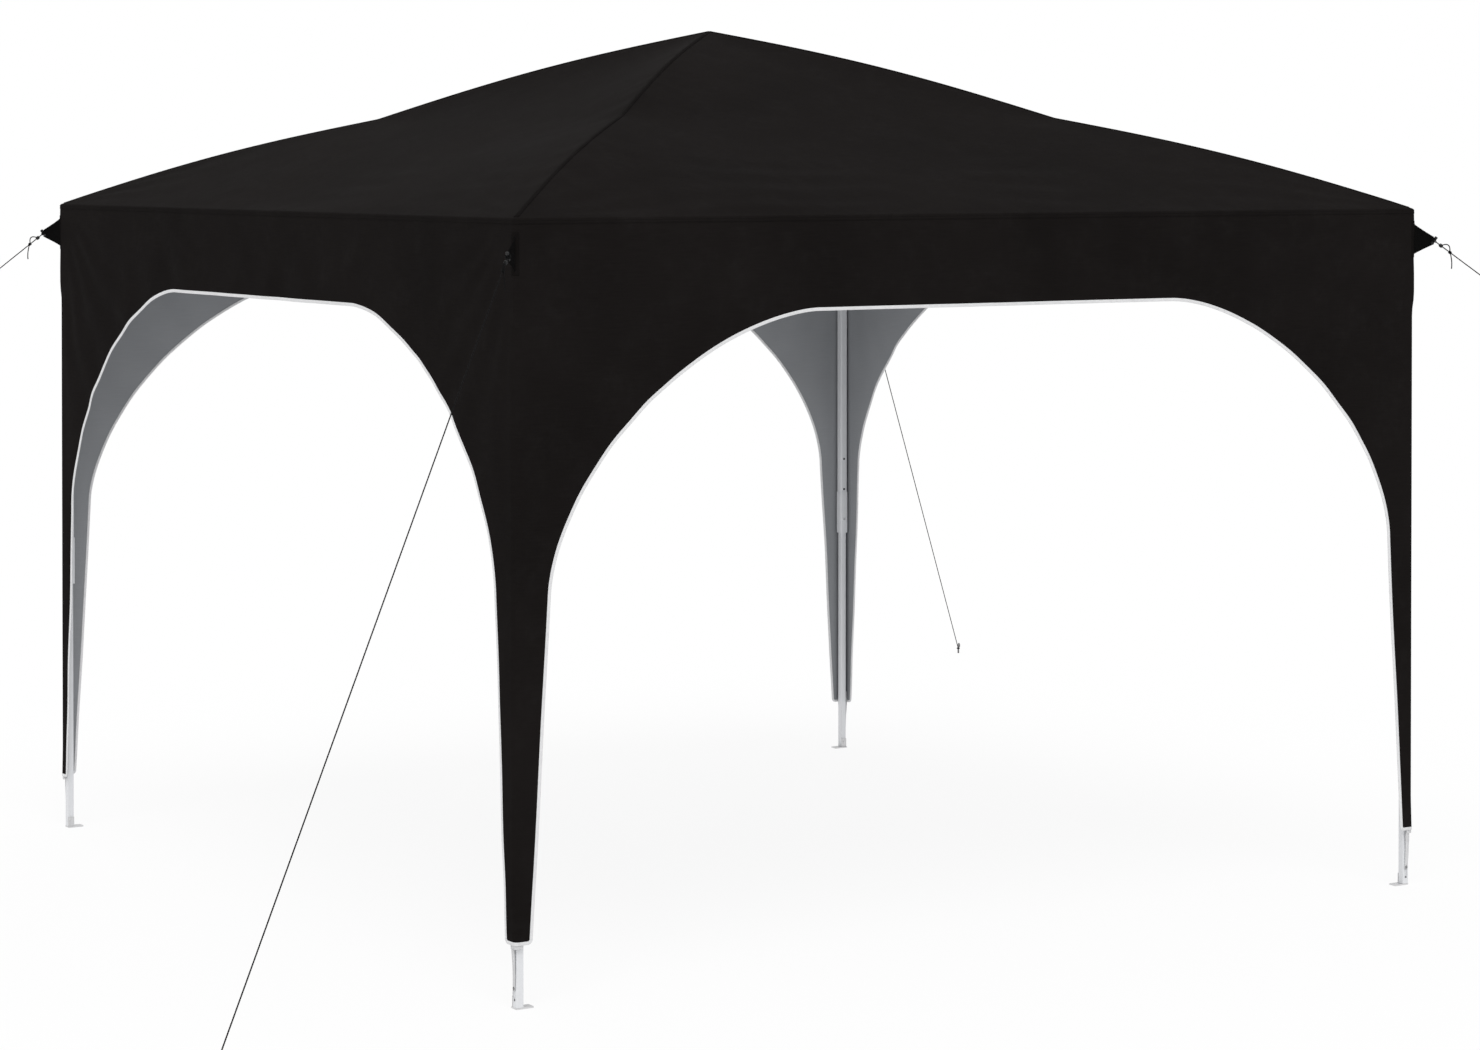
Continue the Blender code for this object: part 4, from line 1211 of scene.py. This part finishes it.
class BuildCover(bpy.types.Operator):
    """Build the roof, valances and leg covers as one shell of cloth"""

    bl_idname = "party_tent.build_cover"
    bl_label = "Canopy cover"

    def execute(self, context):
        nodes = [kind + side for kind in ("roof_panel_", "side_panel_") for side in SIDES]
        finish_piece(build_cover(), nodes)
        return {"FINISHED"}


# Edge tape, seams and their stitches


def edge_line(offset, lift):
    """One closed line round all openings and hems: offset out of the cloth, lift off its outer face."""
    half = opening_edge()
    left = half - (CLOTH_HALF, 0.0)
    line = np.concatenate([left, left[::-1][1:] * (-1, 1)])
    along = np.gradient(line, axis=0)
    along[0] = along[-1] = (1.0, 0.0)
    along = along / np.linalg.norm(along, axis=1)[:, None]
    place = (line + np.stack([along[:, 1], -along[:, 0]], axis=-1) * offset)[:-1]
    return round_sides(place[:, 0], place[:, 1], lift)


def round_sides(x, height, lift):
    """One closed line round the four sides, from places along one of them."""
    return np.concatenate([side_surface(number, x, height, lift) for number in range(4)])


def eave_line(height, lift):
    """A closed line round the sides at one height."""
    along = both_ways(eave_places())[:-1]
    return round_sides(along, np.full(len(along), height), lift)


def hip_line(across, lift):
    """A line on the roof along the first corner's hip, moved across it."""
    start, end = HIP_SEAM_ENDS
    reach = np.linspace(CLOTH_HALF - start, end, 190)
    shift = across / math.sqrt(2)
    return roof_surface(-reach + shift, -reach - shift, lift)


def rings_of(line, section):
    """Rings for a sweep, from a line that is moved by both measures of each corner of the section."""
    return np.stack([line(across, up) for across, up in section], axis=1)


class BuildEdgeTape(bpy.types.Operator):
    """Fold the white tape over every cut edge of the cover"""

    bl_idname = "party_tent.build_edge_tape"
    bl_label = "Edge tape"

    def execute(self, context):
        trim = context.scene.party_tent_trim
        cloth = context.scene.party_tent_cloth.thickness
        thick = trim.tape_thickness
        section = (
            (-trim.tape_outside, -TAPE_SUNK),
            (-trim.tape_outside, thick * 0.7),
            (-trim.tape_outside + TAPE_EDGE, thick),
            (-TAPE_EDGE / 2, thick),
            (thick * 0.7, thick * 0.55),
            (thick, -cloth / 2),
            (thick * 0.7, -cloth - thick * 0.55),
            (-TAPE_EDGE / 2, -cloth - thick),
            (-trim.tape_inside + TAPE_EDGE, -cloth - thick),
            (-trim.tape_inside, -cloth - thick * 0.7),
            (-trim.tape_inside, -cloth + TAPE_SUNK),
        )
        tape = swept("edge_tape", rings_of(edge_line, section), closed=True)
        finish_piece(tape, finish="edge_tape")
        return {"FINISHED"}


def seam_section(width, height):
    """Half sunk cross-section of a flat folded seam, as (across, up) pairs."""
    half = width / 2
    top = ((-half, 0.6), (-half + SEAM_FOLD, 1.0), (0.0, 0.8), (half - SEAM_FOLD, 1.0), (half, 0.6))
    return [(-half, -SUNK), *((across, height * share) for across, share in top), (half, -SUNK)]


def seam_middle():
    return EAVE_HEIGHT - EAVE_ROUNDING - settings_of("trim").seam_width / 2 + EAVE_SEAM_RISE


class BuildSeams(bpy.types.Operator):
    """Lay the folded seams along the hips, with the tape inside them, and under the eave"""

    bl_idname = "party_tent.build_seams"
    bl_label = "Seams"

    def execute(self, context):
        width = context.scene.party_tent_trim.seam_width
        under = context.scene.party_tent_cloth.thickness + TAPE_DROP
        outer = seam_section(width, HIP_SEAM_HEIGHT)
        tape = seam_section(width + HIP_TAPE_EXTRA, HIP_TAPE_HEIGHT)
        inner = [(across, -under - up) for across, up in tape[::-1]]
        for number, corner in enumerate(CORNERS):
            # The hip seam takes the darker copy of the cloth, as painted shade along the hip.
            seam = painted(swept("seam", turned(rings_of(hip_line, outer), number)), "seam_cloth")
            tape = painted(swept("tape", turned(rings_of(hip_line, inner), number)), "canopy_lining")
            finish_piece(joined("hip_seam_" + corner, [seam, tape]))
        section = [(seam_middle() + across, up) for across, up in seam_section(width, EAVE_SEAM_HEIGHT)]
        eave = swept("eave_seam", rings_of(eave_line, section), closed=True)
        finish_piece(eave, finish="canopy_outside")
        return {"FINISHED"}


class BuildStitching(bpy.types.Operator):
    """Sew rows of stitches through the tape and the seams"""

    bl_idname = "party_tent.build_stitching"
    bl_label = "Stitching"

    def execute(self, context):
        trim = context.scene.party_tent_trim
        inner_lift = -context.scene.party_tent_cloth.thickness - trim.tape_thickness
        for face, width, lift in (
            ("outside", trim.tape_outside, trim.tape_thickness),
            ("inside", trim.tape_inside, inner_lift),
        ):
            line = edge_line(-width + TAPE_STITCH_INSET, lift)
            finish_piece(stitch("tape_stitches_" + face, [(line, True)], "white_thread"))
        half = trim.seam_width / 2
        rows = []
        for number in range(4):
            for across in (-half + SEAM_STITCH_INSET, half - SEAM_STITCH_INSET):
                rows.append((turned(hip_line(across, HIP_SEAM_HEIGHT), number), False))
        for across in (-half + SEAM_STITCH_INSET, half - EAVE_STITCH_INSET):
            rows.append((eave_line(seam_middle() + across, EAVE_STITCH_LIFT), True))
        finish_piece(stitch("seam_stitches", rows, "black_thread"))
        return {"FINISHED"}


# Guy tabs


def on_diagonal(points, number):
    """Points given as (distance, sideways, height) on the first corner's diagonal, turned to a corner."""
    points = np.asarray(points, float)
    reach, aside, height = points[..., 0], points[..., 1], points[..., 2]
    half = math.sqrt(0.5)
    return turned(np.stack([half * (aside - reach), -half * (reach + aside), height], axis=-1), number)


def rope_frame():
    """The rope's direction, the upward square to it, and the rope's length from the toggle to the peg."""
    along = np.array([PEG_DISTANCE - PEG_RADIUS - GAP, 0.0, PEG_ROPE_HEIGHT]) - TOGGLE_PLACE
    length = np.linalg.norm(along)
    along = along / length
    return along, np.array([-along[2], 0.0, along[0]]), length


def flap_point(number, share, place, off):
    """A point on the flap at shares of its length and height, off its middle plane by a bowed distance."""
    low = TAB_BASE_LOW + (TAB_TIP_HEIGHT - TAB_TIP_HALF - TAB_BASE_LOW) * share ** TAB_TAPER
    high = TAB_BASE_HIGH + (TAB_TIP_HEIGHT + TAB_TIP_HALF - TAB_BASE_HIGH) * share ** TAB_TAPER
    height = low + (high - low) * place
    root = CORNER_DIAGONAL - fold_radius(height) * (math.sqrt(2) - 1) - TAB_ROOT_SUNK
    bow = TAB_BOW * math.sin(math.pi * share) * math.sin(5 * share + number)
    return root + (TOGGLE_PLACE[0] - root) * share, off + bow, height


def build_flap(number):
    """The triangular flap, thicker along its folded edges."""
    ring = list(zip(TAB_PLACES, TAB_WIDTHS))
    ring += [(place, -width) for place, width in ring[::-1]]
    rings = [[flap_point(number, share, *corner) for corner in ring] for share in np.linspace(0, 1, 18)]
    return swept("flap", on_diagonal(rings, number))


def turned_part(name, number, middle, direction, profile, radius, sides):
    """A round part on the diagonal from (place, size) rows along its axis."""
    path = [middle + direction * place for place, _ in profile]
    return round_tube(name, on_diagonal(path, number), [radius * size for _, size in profile], sides)


def build_toggle(number):
    up = rope_frame()[1] * TOGGLE_LENGTH / 2
    return turned_part("toggle", number, TOGGLE_PLACE, up, mirrored(TOGGLE_PROFILE, -1), TOGGLE_RADIUS, 14)


def build_patch(number):
    """The patch that joins the flap's root to both sides of the corner."""
    half = np.array(PATCH_PLACES)
    across = np.concatenate([-half[::-1], half])
    lift = np.where(abs(across) == half[-1], 0.3 * PATCH_LIFT, PATCH_LIFT)
    rings = []
    for height in np.linspace(TAB_BASE_LOW - PATCH_MARGIN, TAB_BASE_HIGH + PATCH_MARGIN, 22):
        inner = round_corner(number, across, height, -SUNK)
        rings.append(round_corner(number, across, height, lift) + inner[::-1])
    return swept("patch", rings)


def tab_stitches(number):
    """Rows along the flap's edges, bars across its tip, and rows through the patch on both sides."""
    parts = []
    for hand in (1, -1):
        for place in TAB_EDGE_ROWS:
            shares = np.linspace(0.06, 0.93, 12)
            row = [flap_point(number, share, place, hand * TAB_EDGE_LIFT) for share in shares]
            parts.append((on_diagonal(row, number), False))
        for share in TAB_BAR_PLACES:
            places = np.linspace(0.15, 0.85, 5)
            row = [flap_point(number, share, place, hand * TAB_BAR_LIFT) for place in places]
            parts.append((on_diagonal(row, number), False))
    heights = np.linspace(TAB_BASE_LOW - PATCH_STITCH_MARGIN, TAB_BASE_HIGH + PATCH_STITCH_MARGIN, 20)
    for across in PATCH_STITCHES:
        x = np.full(len(heights), across - math.copysign(CLOTH_HALF, across))
        parts.append((side_surface(number if across > 0 else number + 3, x, heights, PATCH_LIFT), False))
    return stitch("tab_stitches", parts, "black_thread", FINE_STITCH)


class BuildGuyTabs(bpy.types.Operator):
    """Sew a webbing tab with its toggle on each corner"""

    bl_idname = "party_tent.build_guy_tabs"
    bl_label = "Guy tabs"

    def execute(self, context):
        for number, corner in enumerate(CORNERS):
            parts = [
                painted(build_flap(number), "black_webbing"),
                painted(build_toggle(number), "dark_plastic"),
                # The patch takes the darker copy of the cloth, as painted shade at the tab's root.
                painted(build_patch(number), "seam_cloth"),
                tab_stitches(number),
            ]
            finish_piece(joined("sewn_tab_" + corner, parts), ["guy_tab_" + corner])
        return {"FINISHED"}


# Guy ropes and pegs


def rope_lines():
    """Centre lines of one rope as (points, closed): hitches, line, loop, coil, tail and peg ring."""
    rope = settings_of("rope")
    along, up, length = rope_frame()
    aside = np.array([0.0, 1.0, 0.0])
    wrap = TOGGLE_RADIUS + rope.diameter / 2
    start = TOGGLE_PLACE + along * wrap
    places = (TOGGLE_PLACE - up * HITCH_RISE, TOGGLE_PLACE + up * HITCH_RISE)
    hitches = [circle_rows(place, wrap, along, aside, 24) for place in places]
    line = start + (TOGGLE_PLACE + along * length - start) * np.linspace(0, 1, 60)[:, None]
    cross = start + along * LOOP_END
    loop = []
    for share in np.linspace(0, 1, 22):
        swell = math.sin(math.pi * share)
        point = start + along * (LOOP_START + (LOOP_END - LOOP_START) * share)
        loop.append(point + up * (LOOP_RISE * swell ** 0.8 + LOOP_LIFT) + aside * LOOP_LEAN * swell)
    coil = []
    for share in np.linspace(0, 1, 46):
        angle = FULL * COIL_TURNS * share
        point = cross + along * (COIL_LENGTH * share - COIL_START)
        coil.append(point + COIL_RADIUS * (up * math.cos(angle) + aside * math.sin(angle)))
    tail = []
    for share in np.linspace(0, 1, 16):
        swing = (TAIL_SWING * math.sin(2.2 * share), TAIL_SWING * math.sin(1.6 * share) + TAIL_SIDE)
        tail.append(cross + along * TAIL_START + np.array([*swing, -rope.tail_length * share]))
    peg = np.array([PEG_DISTANCE, 0.0, PEG_ROPE_HEIGHT])
    ring = PEG_RADIUS + rope.diameter / 2 + PEG_RING_GAP
    peg_ring = circle_rows(peg, ring, np.array([1.0, 0.0, PEG_RING_SLOPE]), aside, 24)
    parts = [(part, True) for part in hitches]
    parts += [(part, False) for part in (line, loop, coil, tail)]
    return parts + [(peg_ring, True)]


def build_rope(number):
    rope = settings_of("rope")
    points, lines = joined_lines([(on_diagonal(part, number), closed) for part, closed in rope_lines()])
    inputs = {"Diameter": rope.diameter, "Twist pitch": rope.twist_pitch, "Step": rope.twist_pitch / 6}
    inputs["Material"] = bpy.data.materials["rope_fibre"]
    return run_tree("rope", "laid_rope", points, lines, inputs)


def build_bead(number):
    along, _, _ = rope_frame()
    middle = TOGGLE_PLACE + along * (TOGGLE_RADIUS + settings_of("rope").diameter / 2 + BEAD_AT)
    profile = mirrored(BEAD_PROFILE, -2)
    return turned_part("bead", number, middle, along * BEAD_HALF, profile, BEAD_RADIUS, 16)


class BuildGuyRopes(bpy.types.Operator):
    """Run a laid rope from each tab to its peg, with its bead, loop and tail"""

    bl_idname = "party_tent.build_guy_ropes"
    bl_label = "Guy ropes"

    def execute(self, context):
        for number, corner in enumerate(CORNERS):
            parts = [build_rope(number), painted(build_bead(number), "dark_plastic")]
            finish_piece(joined("laid_rope_" + corner, parts), ["guy_rope_" + corner])
        return {"FINISHED"}


def peg_path():
    path = [(PEG_DISTANCE, 0.0, height) for height in np.linspace(0, PEG_STRAIGHT_HEIGHT, 5)]
    bend = PEG_HOOK_REACH / 2
    for angle in np.linspace(0, math.pi, 22)[1:]:
        height = PEG_STRAIGHT_HEIGHT + bend * math.sin(angle)
        path.append((PEG_DISTANCE + bend * (1 - math.cos(angle)), 0.0, height))
    x, _, z = path[-1]
    return path + [(x, 0.0, z - drop) for drop in PEG_END_DROPS]


class BuildPegs(bpy.types.Operator):
    """Bend a steel peg for each rope"""

    bl_idname = "party_tent.build_pegs"
    bl_label = "Pegs"

    def execute(self, context):
        path = peg_path()
        radii = [PEG_RADIUS] * (len(path) - 2) + [PEG_RADIUS * 0.85, PEG_RADIUS * 0.5]
        for number, corner in enumerate(CORNERS):
            peg = round_tube("bent_peg_" + corner, on_diagonal(path, number), radii, 16)
            finish_piece(peg, ["tent_peg_" + corner], "dark_steel")
        return {"FINISHED"}


# Hem straps, buttons and rivets


def at_leg(points, number):
    """Points round the first leg's axis, moved to a corner's leg."""
    return turned(np.asarray(points, float) + np.array([-LEG_CENTRE, -LEG_CENTRE, 0.0]), number)


def strap_line():
    """Middle of the band as (x, y, z) round the leg's axis, from the hem's inside down to the tube's face."""
    top = np.array([-(CLOTH_HALF - STRAP_INSET - LEG_CENTRE), -0.003, STRAP_TOP])
    bottom = np.array([-(LOWER_TUBE_HALF + GAP + STRAP_STAND), 0.0, STRAP_BOTTOM])
    share = np.linspace(0, 1, STRAP_ROWS)
    ease = 0.35 * share + 0.65 * smooth_step(share, 0.0, 1.0)
    line = top + (bottom - top) * np.stack([ease, share, share], axis=-1)
    line[:, 1] += STRAP_SWAY * np.sin(7 * share)
    return line


def build_strap(number):
    """The elastic band, a little curled and uneven."""
    section = STRAP_SECTION + tuple((across, -depth) for across, depth in STRAP_SECTION[::-1])
    places, depths = np.array(section, float).T
    rings = []
    for share, point in zip(np.linspace(0, 1, STRAP_ROWS), strap_line()):
        half = (STRAP_HALF - STRAP_TAPER * share) * (1 + 0.03 * math.sin(19 * share))
        curl = STRAP_CURL * math.sin(4 * share + number)
        out = STRAP_THICKNESS * depths + curl * places ** 2
        rings.append(point + np.stack([out, half * places, 0 * places], axis=-1))
    return swept("band", at_leg(rings, number))


def build_hem_facing(number):
    """A strip of webbing sewn inside the hem, which hangs a little below it on both faces of the leg."""
    across = np.linspace(-FACING_HALF, FACING_HALF, 24)
    rings = []
    for rise in FACING_ROWS:
        outer, inner = (round_corner(number, across, HEM_HEIGHT + rise, lift) for lift in FACING_LIFTS)
        rings.append(outer + inner[::-1])
    return swept("facing", rings)


def build_strap_end(number):
    """The eyelet in the strap's end, and the wire hook that goes from it into the tube's face."""
    face = -(LOWER_TUBE_HALF + GAP)
    high = STRAP_BOTTOM + EYELET_RISE
    middle = np.array([face - EYELET_STAND, 0.0, high])
    ring = circle_rows(middle, EYELET_RADIUS, np.array([0.0, 1.0, 0.0]), UP, 20)
    eyelet = round_tube("eyelet", at_leg(ring, number), EYELET_WIRE, 8, closed=True)
    wire = []
    for share in np.linspace(0, 1, 22):
        out = HOOK_BOW * math.sin(math.pi * min(1.0, share * 1.05)) + HOOK_STAND
        sway = HOOK_SWAY * math.sin(FULL * share)
        wire.append((face - out, sway, high - HOOK_START - HOOK_DROP * share))
    wire.append((face - HOOK_TIP[0], 0.0, high - HOOK_TIP[1]))
    hook = round_tube("hook", at_leg(wire, number), HOOK_WIRE, 8)
    seat_low = STRAP_BOTTOM - HOOK_SEAT_DROP
    seat_at, inwards = at_leg([(face, 0.0, seat_low), (face + 1.0, 0.0, seat_low)], number)
    seat = lathe("hook_seat", seat_at, seat_at - inwards, HOOK_SEAT)
    return [painted(eyelet, "dark_steel"), painted(hook, "bright_steel"), painted(seat, "dark_steel")]


def strap_stitches(number):
    rows = strap_line()[1:9]
    moves = [(-STRAP_STITCH_LIFT, STRAP_STITCH_HALF * across, 0.0) for across in (-0.62, 0.62)]
    parts = [(at_leg(rows + move, number), False) for move in moves]
    return stitch("strap_stitches", parts, "white_thread", FINE_STITCH)


class BuildStraps(bpy.types.Operator):
    """Sew an elastic strap in each leg cover's hem and hook it to the leg"""

    bl_idname = "party_tent.build_straps"
    bl_label = "Hem straps"

    def execute(self, context):
        for number, corner in enumerate(CORNERS):
            parts = [painted(build(number), "strap_webbing") for build in (build_strap, build_hem_facing)]
            parts += [*build_strap_end(number), strap_stitches(number)]
            finish_piece(joined("elastic_strap_" + corner, parts), ["hem_strap_" + corner])
        return {"FINISHED"}


def build_rim(name, middle, growth, wire, finish):
    """A pressed rim round a hole that faces along Y."""
    ring = circle_rows(middle, HOLE_RADIUS + growth, UP, np.array([1.0, 0.0, 0.0]), 24)
    return painted(round_tube(name, ring, wire, 8, closed=True), finish)


class BuildButtons(bpy.types.Operator):
    """Set the spring button in each sleeve, the pressed rims of the other holes, and a black disc in each
    hole as painted shade
    """

    bl_idname = "party_tent.build_buttons"
    bl_label = "Buttons and hole rims"

    def execute(self, context):
        for number, corner in enumerate(CORNERS):
            centre = at_leg((0.0, 0.0, 0.0), number)
            facing = np.array([0.0, -math.copysign(1.0, centre[1]), 0.0])
            foot = centre + facing * (LOWER_TUBE_HALF + GAP) + UP * HOLE_HEIGHTS[0]
            button = lathe("button", foot, facing, zip(BUTTON_RADII, BUTTON_HEIGHTS))
            parts = [painted(button, "bright_steel")]
            for height in HOLE_HEIGHTS[1:]:
                middle = centre + facing * (UPPER_TUBE_HALF + RIM_STAND) + UP * height
                parts.append(build_rim("rim", middle, *TUBE_RIM, "powder_coated_tube"))
                # Painted shade: a black disc a little inside the hole makes it look dark.
                disc = lathe("hole", middle - facing * HOLE_SHADE_DEPTH, facing, HOLE_SHADE_DISC)
                parts.append(painted(disc, "black_thread"))
            middle = centre + facing * (SLEEVE_HALF + RIM_STAND) + UP * HOLE_HEIGHTS[0]
            parts.append(build_rim("sleeve_rim", middle, *SLEEVE_RIM, "sleeve_plastic"))
            finish_piece(joined("snap_button_" + corner, parts))
        return {"FINISHED"}


def truss_pivots(start, end, crossings):
    """Pivots of a row of crossed bars as (distance, height, whether it is at an end of the row)."""
    module = (end - start) / crossings
    middle = (TRUSS_TOP + TRUSS_BOTTOM) / 2
    places = [(start + (index + 0.5) * module, middle, False) for index in range(crossings)]
    for index in range(crossings + 1):
        for height in (TRUSS_TOP, TRUSS_BOTTOM):
            places.append((start + index * module, height, index in (0, crossings)))
    return places


def pivot_heads(number):
    """Rivet places and facings of one side truss and one ceiling truss."""
    points, facings = [], []
    reach = LEG_CENTRE - PIVOT_REACH
    for start, end, crossings in ((-reach, reach, SIDE_CROSSINGS), (-reach, -PIVOT_REACH, CEILING_CROSSINGS)):
        for place, height, in_fork in truss_pivots(start, end, crossings):
            off = FORK_HALF_WIDTH if in_fork else BAR_LAYER + BAR_THICKNESS / 2
            for hand in (1, -1):
                if end > 0:
                    points.append((place, -LEG_CENTRE + hand * off, height))
                    facings.append((0.0, hand, 0.0))
                else:
                    points.append((hand * off, place, height))
                    facings.append((hand, 0.0, 0.0))
    return turned(points, number), turned(facings, number)


class BuildRivets(bpy.types.Operator):
    """Set the rivets at the crossings and ends of the scissor bars"""

    bl_idname = "party_tent.build_rivets"
    bl_label = "Rivets"

    def execute(self, context):
        heads = [pivot_heads(number) for number in range(4)]
        points, facings = (np.concatenate(part) for part in zip(*heads))
        inputs = {"Radius": RIVET_RADIUS, "Height": RIVET_HEIGHT}
        inputs["Material"] = bpy.data.materials["bright_steel"]
        rivets = run_tree("bar_rivets", "round_heads", points, [], inputs, facings)
        finish_piece(rivets)
        return {"FINISHED"}


FRAME_FINISHES = {
    ("upper_leg", "lower_leg", "side_truss", "ceiling_truss", "peak_pole"): "powder_coated_tube",
    ("corner_bracket", "slider_bracket", "upper_hub", "lower_hub"): "bracket_plastic",
    ("leg_sleeve",): "sleeve_plastic",
    ("foot",): "zinc_plate",
}


class FinishFrame(bpy.types.Operator):
    """Give the tubes, bars, sleeves, brackets and feet their finishes"""

    bl_idname = "party_tent.finish_frame"
    bl_label = "Frame finishes"

    def execute(self, context):
        for name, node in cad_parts.items():
            for starts, finish in FRAME_FINISHES.items():
                if name.startswith(starts) and not node.hide_render:
                    for slot in node.material_slots:
                        slot.material = bpy.data.materials[finish]
        return {"FINISHED"}


# Studio


def build_floor():
    """A wide disc with fine rings near the tent, whose finish fades into the white surroundings."""
    reach = FLOOR_REACH * np.linspace(0, 1, FLOOR_RINGS) ** 2.2 + 0.02
    turn = full_turn(FLOOR_SIDES)
    points = [(r * math.cos(a), r * math.sin(a), FLOOR_HEIGHT) for r in reach for a in turn]
    faces = [face for face in ring_faces(FLOOR_RINGS, FLOOR_SIDES, False) if len(face) == 4]
    floor = make_mesh("studio_floor", points, faces + [tuple(range(FLOOR_SIDES))])
    edit_mesh(floor, face_upwards)
    net, shader, places = start_finish("pale_floor", {"Roughness": 0.9, "Specular IOR Level": 0.1})
    noise = net.noise(places["Object"], 1.3, 3.0)
    net.feed(net.steps(noise, settings_of("stage").floor_colour, 0.995, 1.0), shader["Base Color"])
    far = net.add("ShaderNodeVectorMath", {0: places["Object"]}, "Value", operation="LENGTH")
    glow = net.add("ShaderNodeEmission", {"Color": WHITE, "Strength": 1.0})
    lit = net.tree.nodes["Principled BSDF"].outputs[0]
    mixed = net.add("ShaderNodeMixShader", {0: net.remap(far, *FLOOR_FADE), 1: lit, 2: glow})
    net.feed(mixed, net.tree.nodes["Material Output"].inputs["Surface"])
    return painted(floor, "pale_floor")


def build_world(strength):
    """Even light from all round, which the camera sees as plain white."""
    world = bpy.data.worlds.new("studio")
    world.use_nodes = True
    world.node_tree.nodes.clear()
    net = Net(world.node_tree)
    seen = net.add("ShaderNodeLightPath", out="Is Camera Ray")
    light = net.add("ShaderNodeBackground", {"Color": WHITE, "Strength": strength})
    white = net.add("ShaderNodeBackground", {"Color": WHITE, "Strength": 1.0})
    end = net.tree.nodes.new("ShaderNodeOutputWorld")
    net.feed(net.add("ShaderNodeMixShader", {0: seen, 1: light, 2: white}), end.inputs["Surface"])
    bpy.context.scene.world = world


def build_lamp(strength):
    lamp = bpy.data.lights.new("studio_lamp", "SUN")
    lamp.energy = strength
    lamp.angle = LAMP_SPREAD
    item = link_piece("studio_lamp", lamp)
    item.rotation_euler = Vector(LAMP_AIM).to_track_quat("-Z", "Y").to_euler()


def build_camera(lens):
    """The photograph's camera: one degree down, with the shift that its framing needs."""
    camera = bpy.data.cameras.new("photo_camera")
    camera.lens = lens
    camera.sensor_width = CAMERA_SENSOR
    camera.shift_y = CAMERA_SHIFT
    camera.clip_end = 200.0
    item = link_piece("photo_camera", camera)
    item.location = CAMERA_PLACE
    item.rotation_euler = CAMERA_TURN
    bpy.context.scene.camera = item


class BuildStage(bpy.types.Operator):
    """Set the pale floor, the soft light and the camera"""

    bl_idname = "party_tent.build_stage"
    bl_label = "Studio"

    def execute(self, context):
        settings = context.scene.party_tent_stage
        context.scene.view_settings.view_transform = "Standard"
        build_floor()
        build_world(settings.sky_strength)
        build_lamp(settings.lamp_strength)
        build_camera(settings.lens)
        return {"FINISHED"}


class DeclareCloth(bpy.types.Operator):
    bl_idname = "party_tent.declare_cloth"
    bl_label = "Declare the cloth"

    def execute(self, context):
        names = ["edge_tape", "eave_seam", "tape_stitches_outside", "tape_stitches_inside", "seam_stitches"]
        names += ["hip_seam_" + corner for corner in CORNERS]
        return {"FINISHED"}


STEPS = (
    BuildStage,
    PrepareFinishes,
    BuildCover,
    BuildEdgeTape,
    BuildSeams,
    BuildStitching,
    BuildGuyTabs,
    BuildGuyRopes,
    BuildPegs,
    BuildStraps,
    BuildButtons,
    BuildRivets,
    FinishFrame,
    DeclareCloth,
)
SETTINGS = {
    "party_tent_cloth": ClothSettings,
    "party_tent_trim": TrimSettings,
    "party_tent_rope": RopeSettings,
    "party_tent_frame": FrameSettings,
    "party_tent_stage": StageSettings,
}


class PartyTentPanel(bpy.types.Panel):
    """Steps that build the party tent, in order, and their settings"""

    bl_idname = "VIEW3D_PT_party_tent"
    bl_label = "Party Tent"
    bl_space_type = "VIEW_3D"
    bl_region_type = "UI"
    bl_category = "Party Tent"

    def draw(self, context):
        column = self.layout.column(align=True)
        for step in STEPS:
            column.operator(step.bl_idname)
        for name, group in SETTINGS.items():
            box = self.layout.box()
            for setting in group.__annotations__:
                box.prop(getattr(context.scene, name), setting)


def register():
    for name, group in SETTINGS.items():
        bpy.utils.register_class(group)
        setattr(bpy.types.Scene, name, bpy.props.PointerProperty(type=group))
    for item in (*STEPS, PartyTentPanel):
        bpy.utils.register_class(item)


def unregister():
    for item in (PartyTentPanel, *reversed(STEPS)):
        bpy.utils.unregister_class(item)
    for name, group in reversed(SETTINGS.items()):
        delattr(bpy.types.Scene, name)
        bpy.utils.unregister_class(group)


def main():
    register()
    for step in STEPS:
        family, action = step.bl_idname.split(".")
        getattr(getattr(bpy.ops, family), action)()


if __name__ == "__main__":
    main()
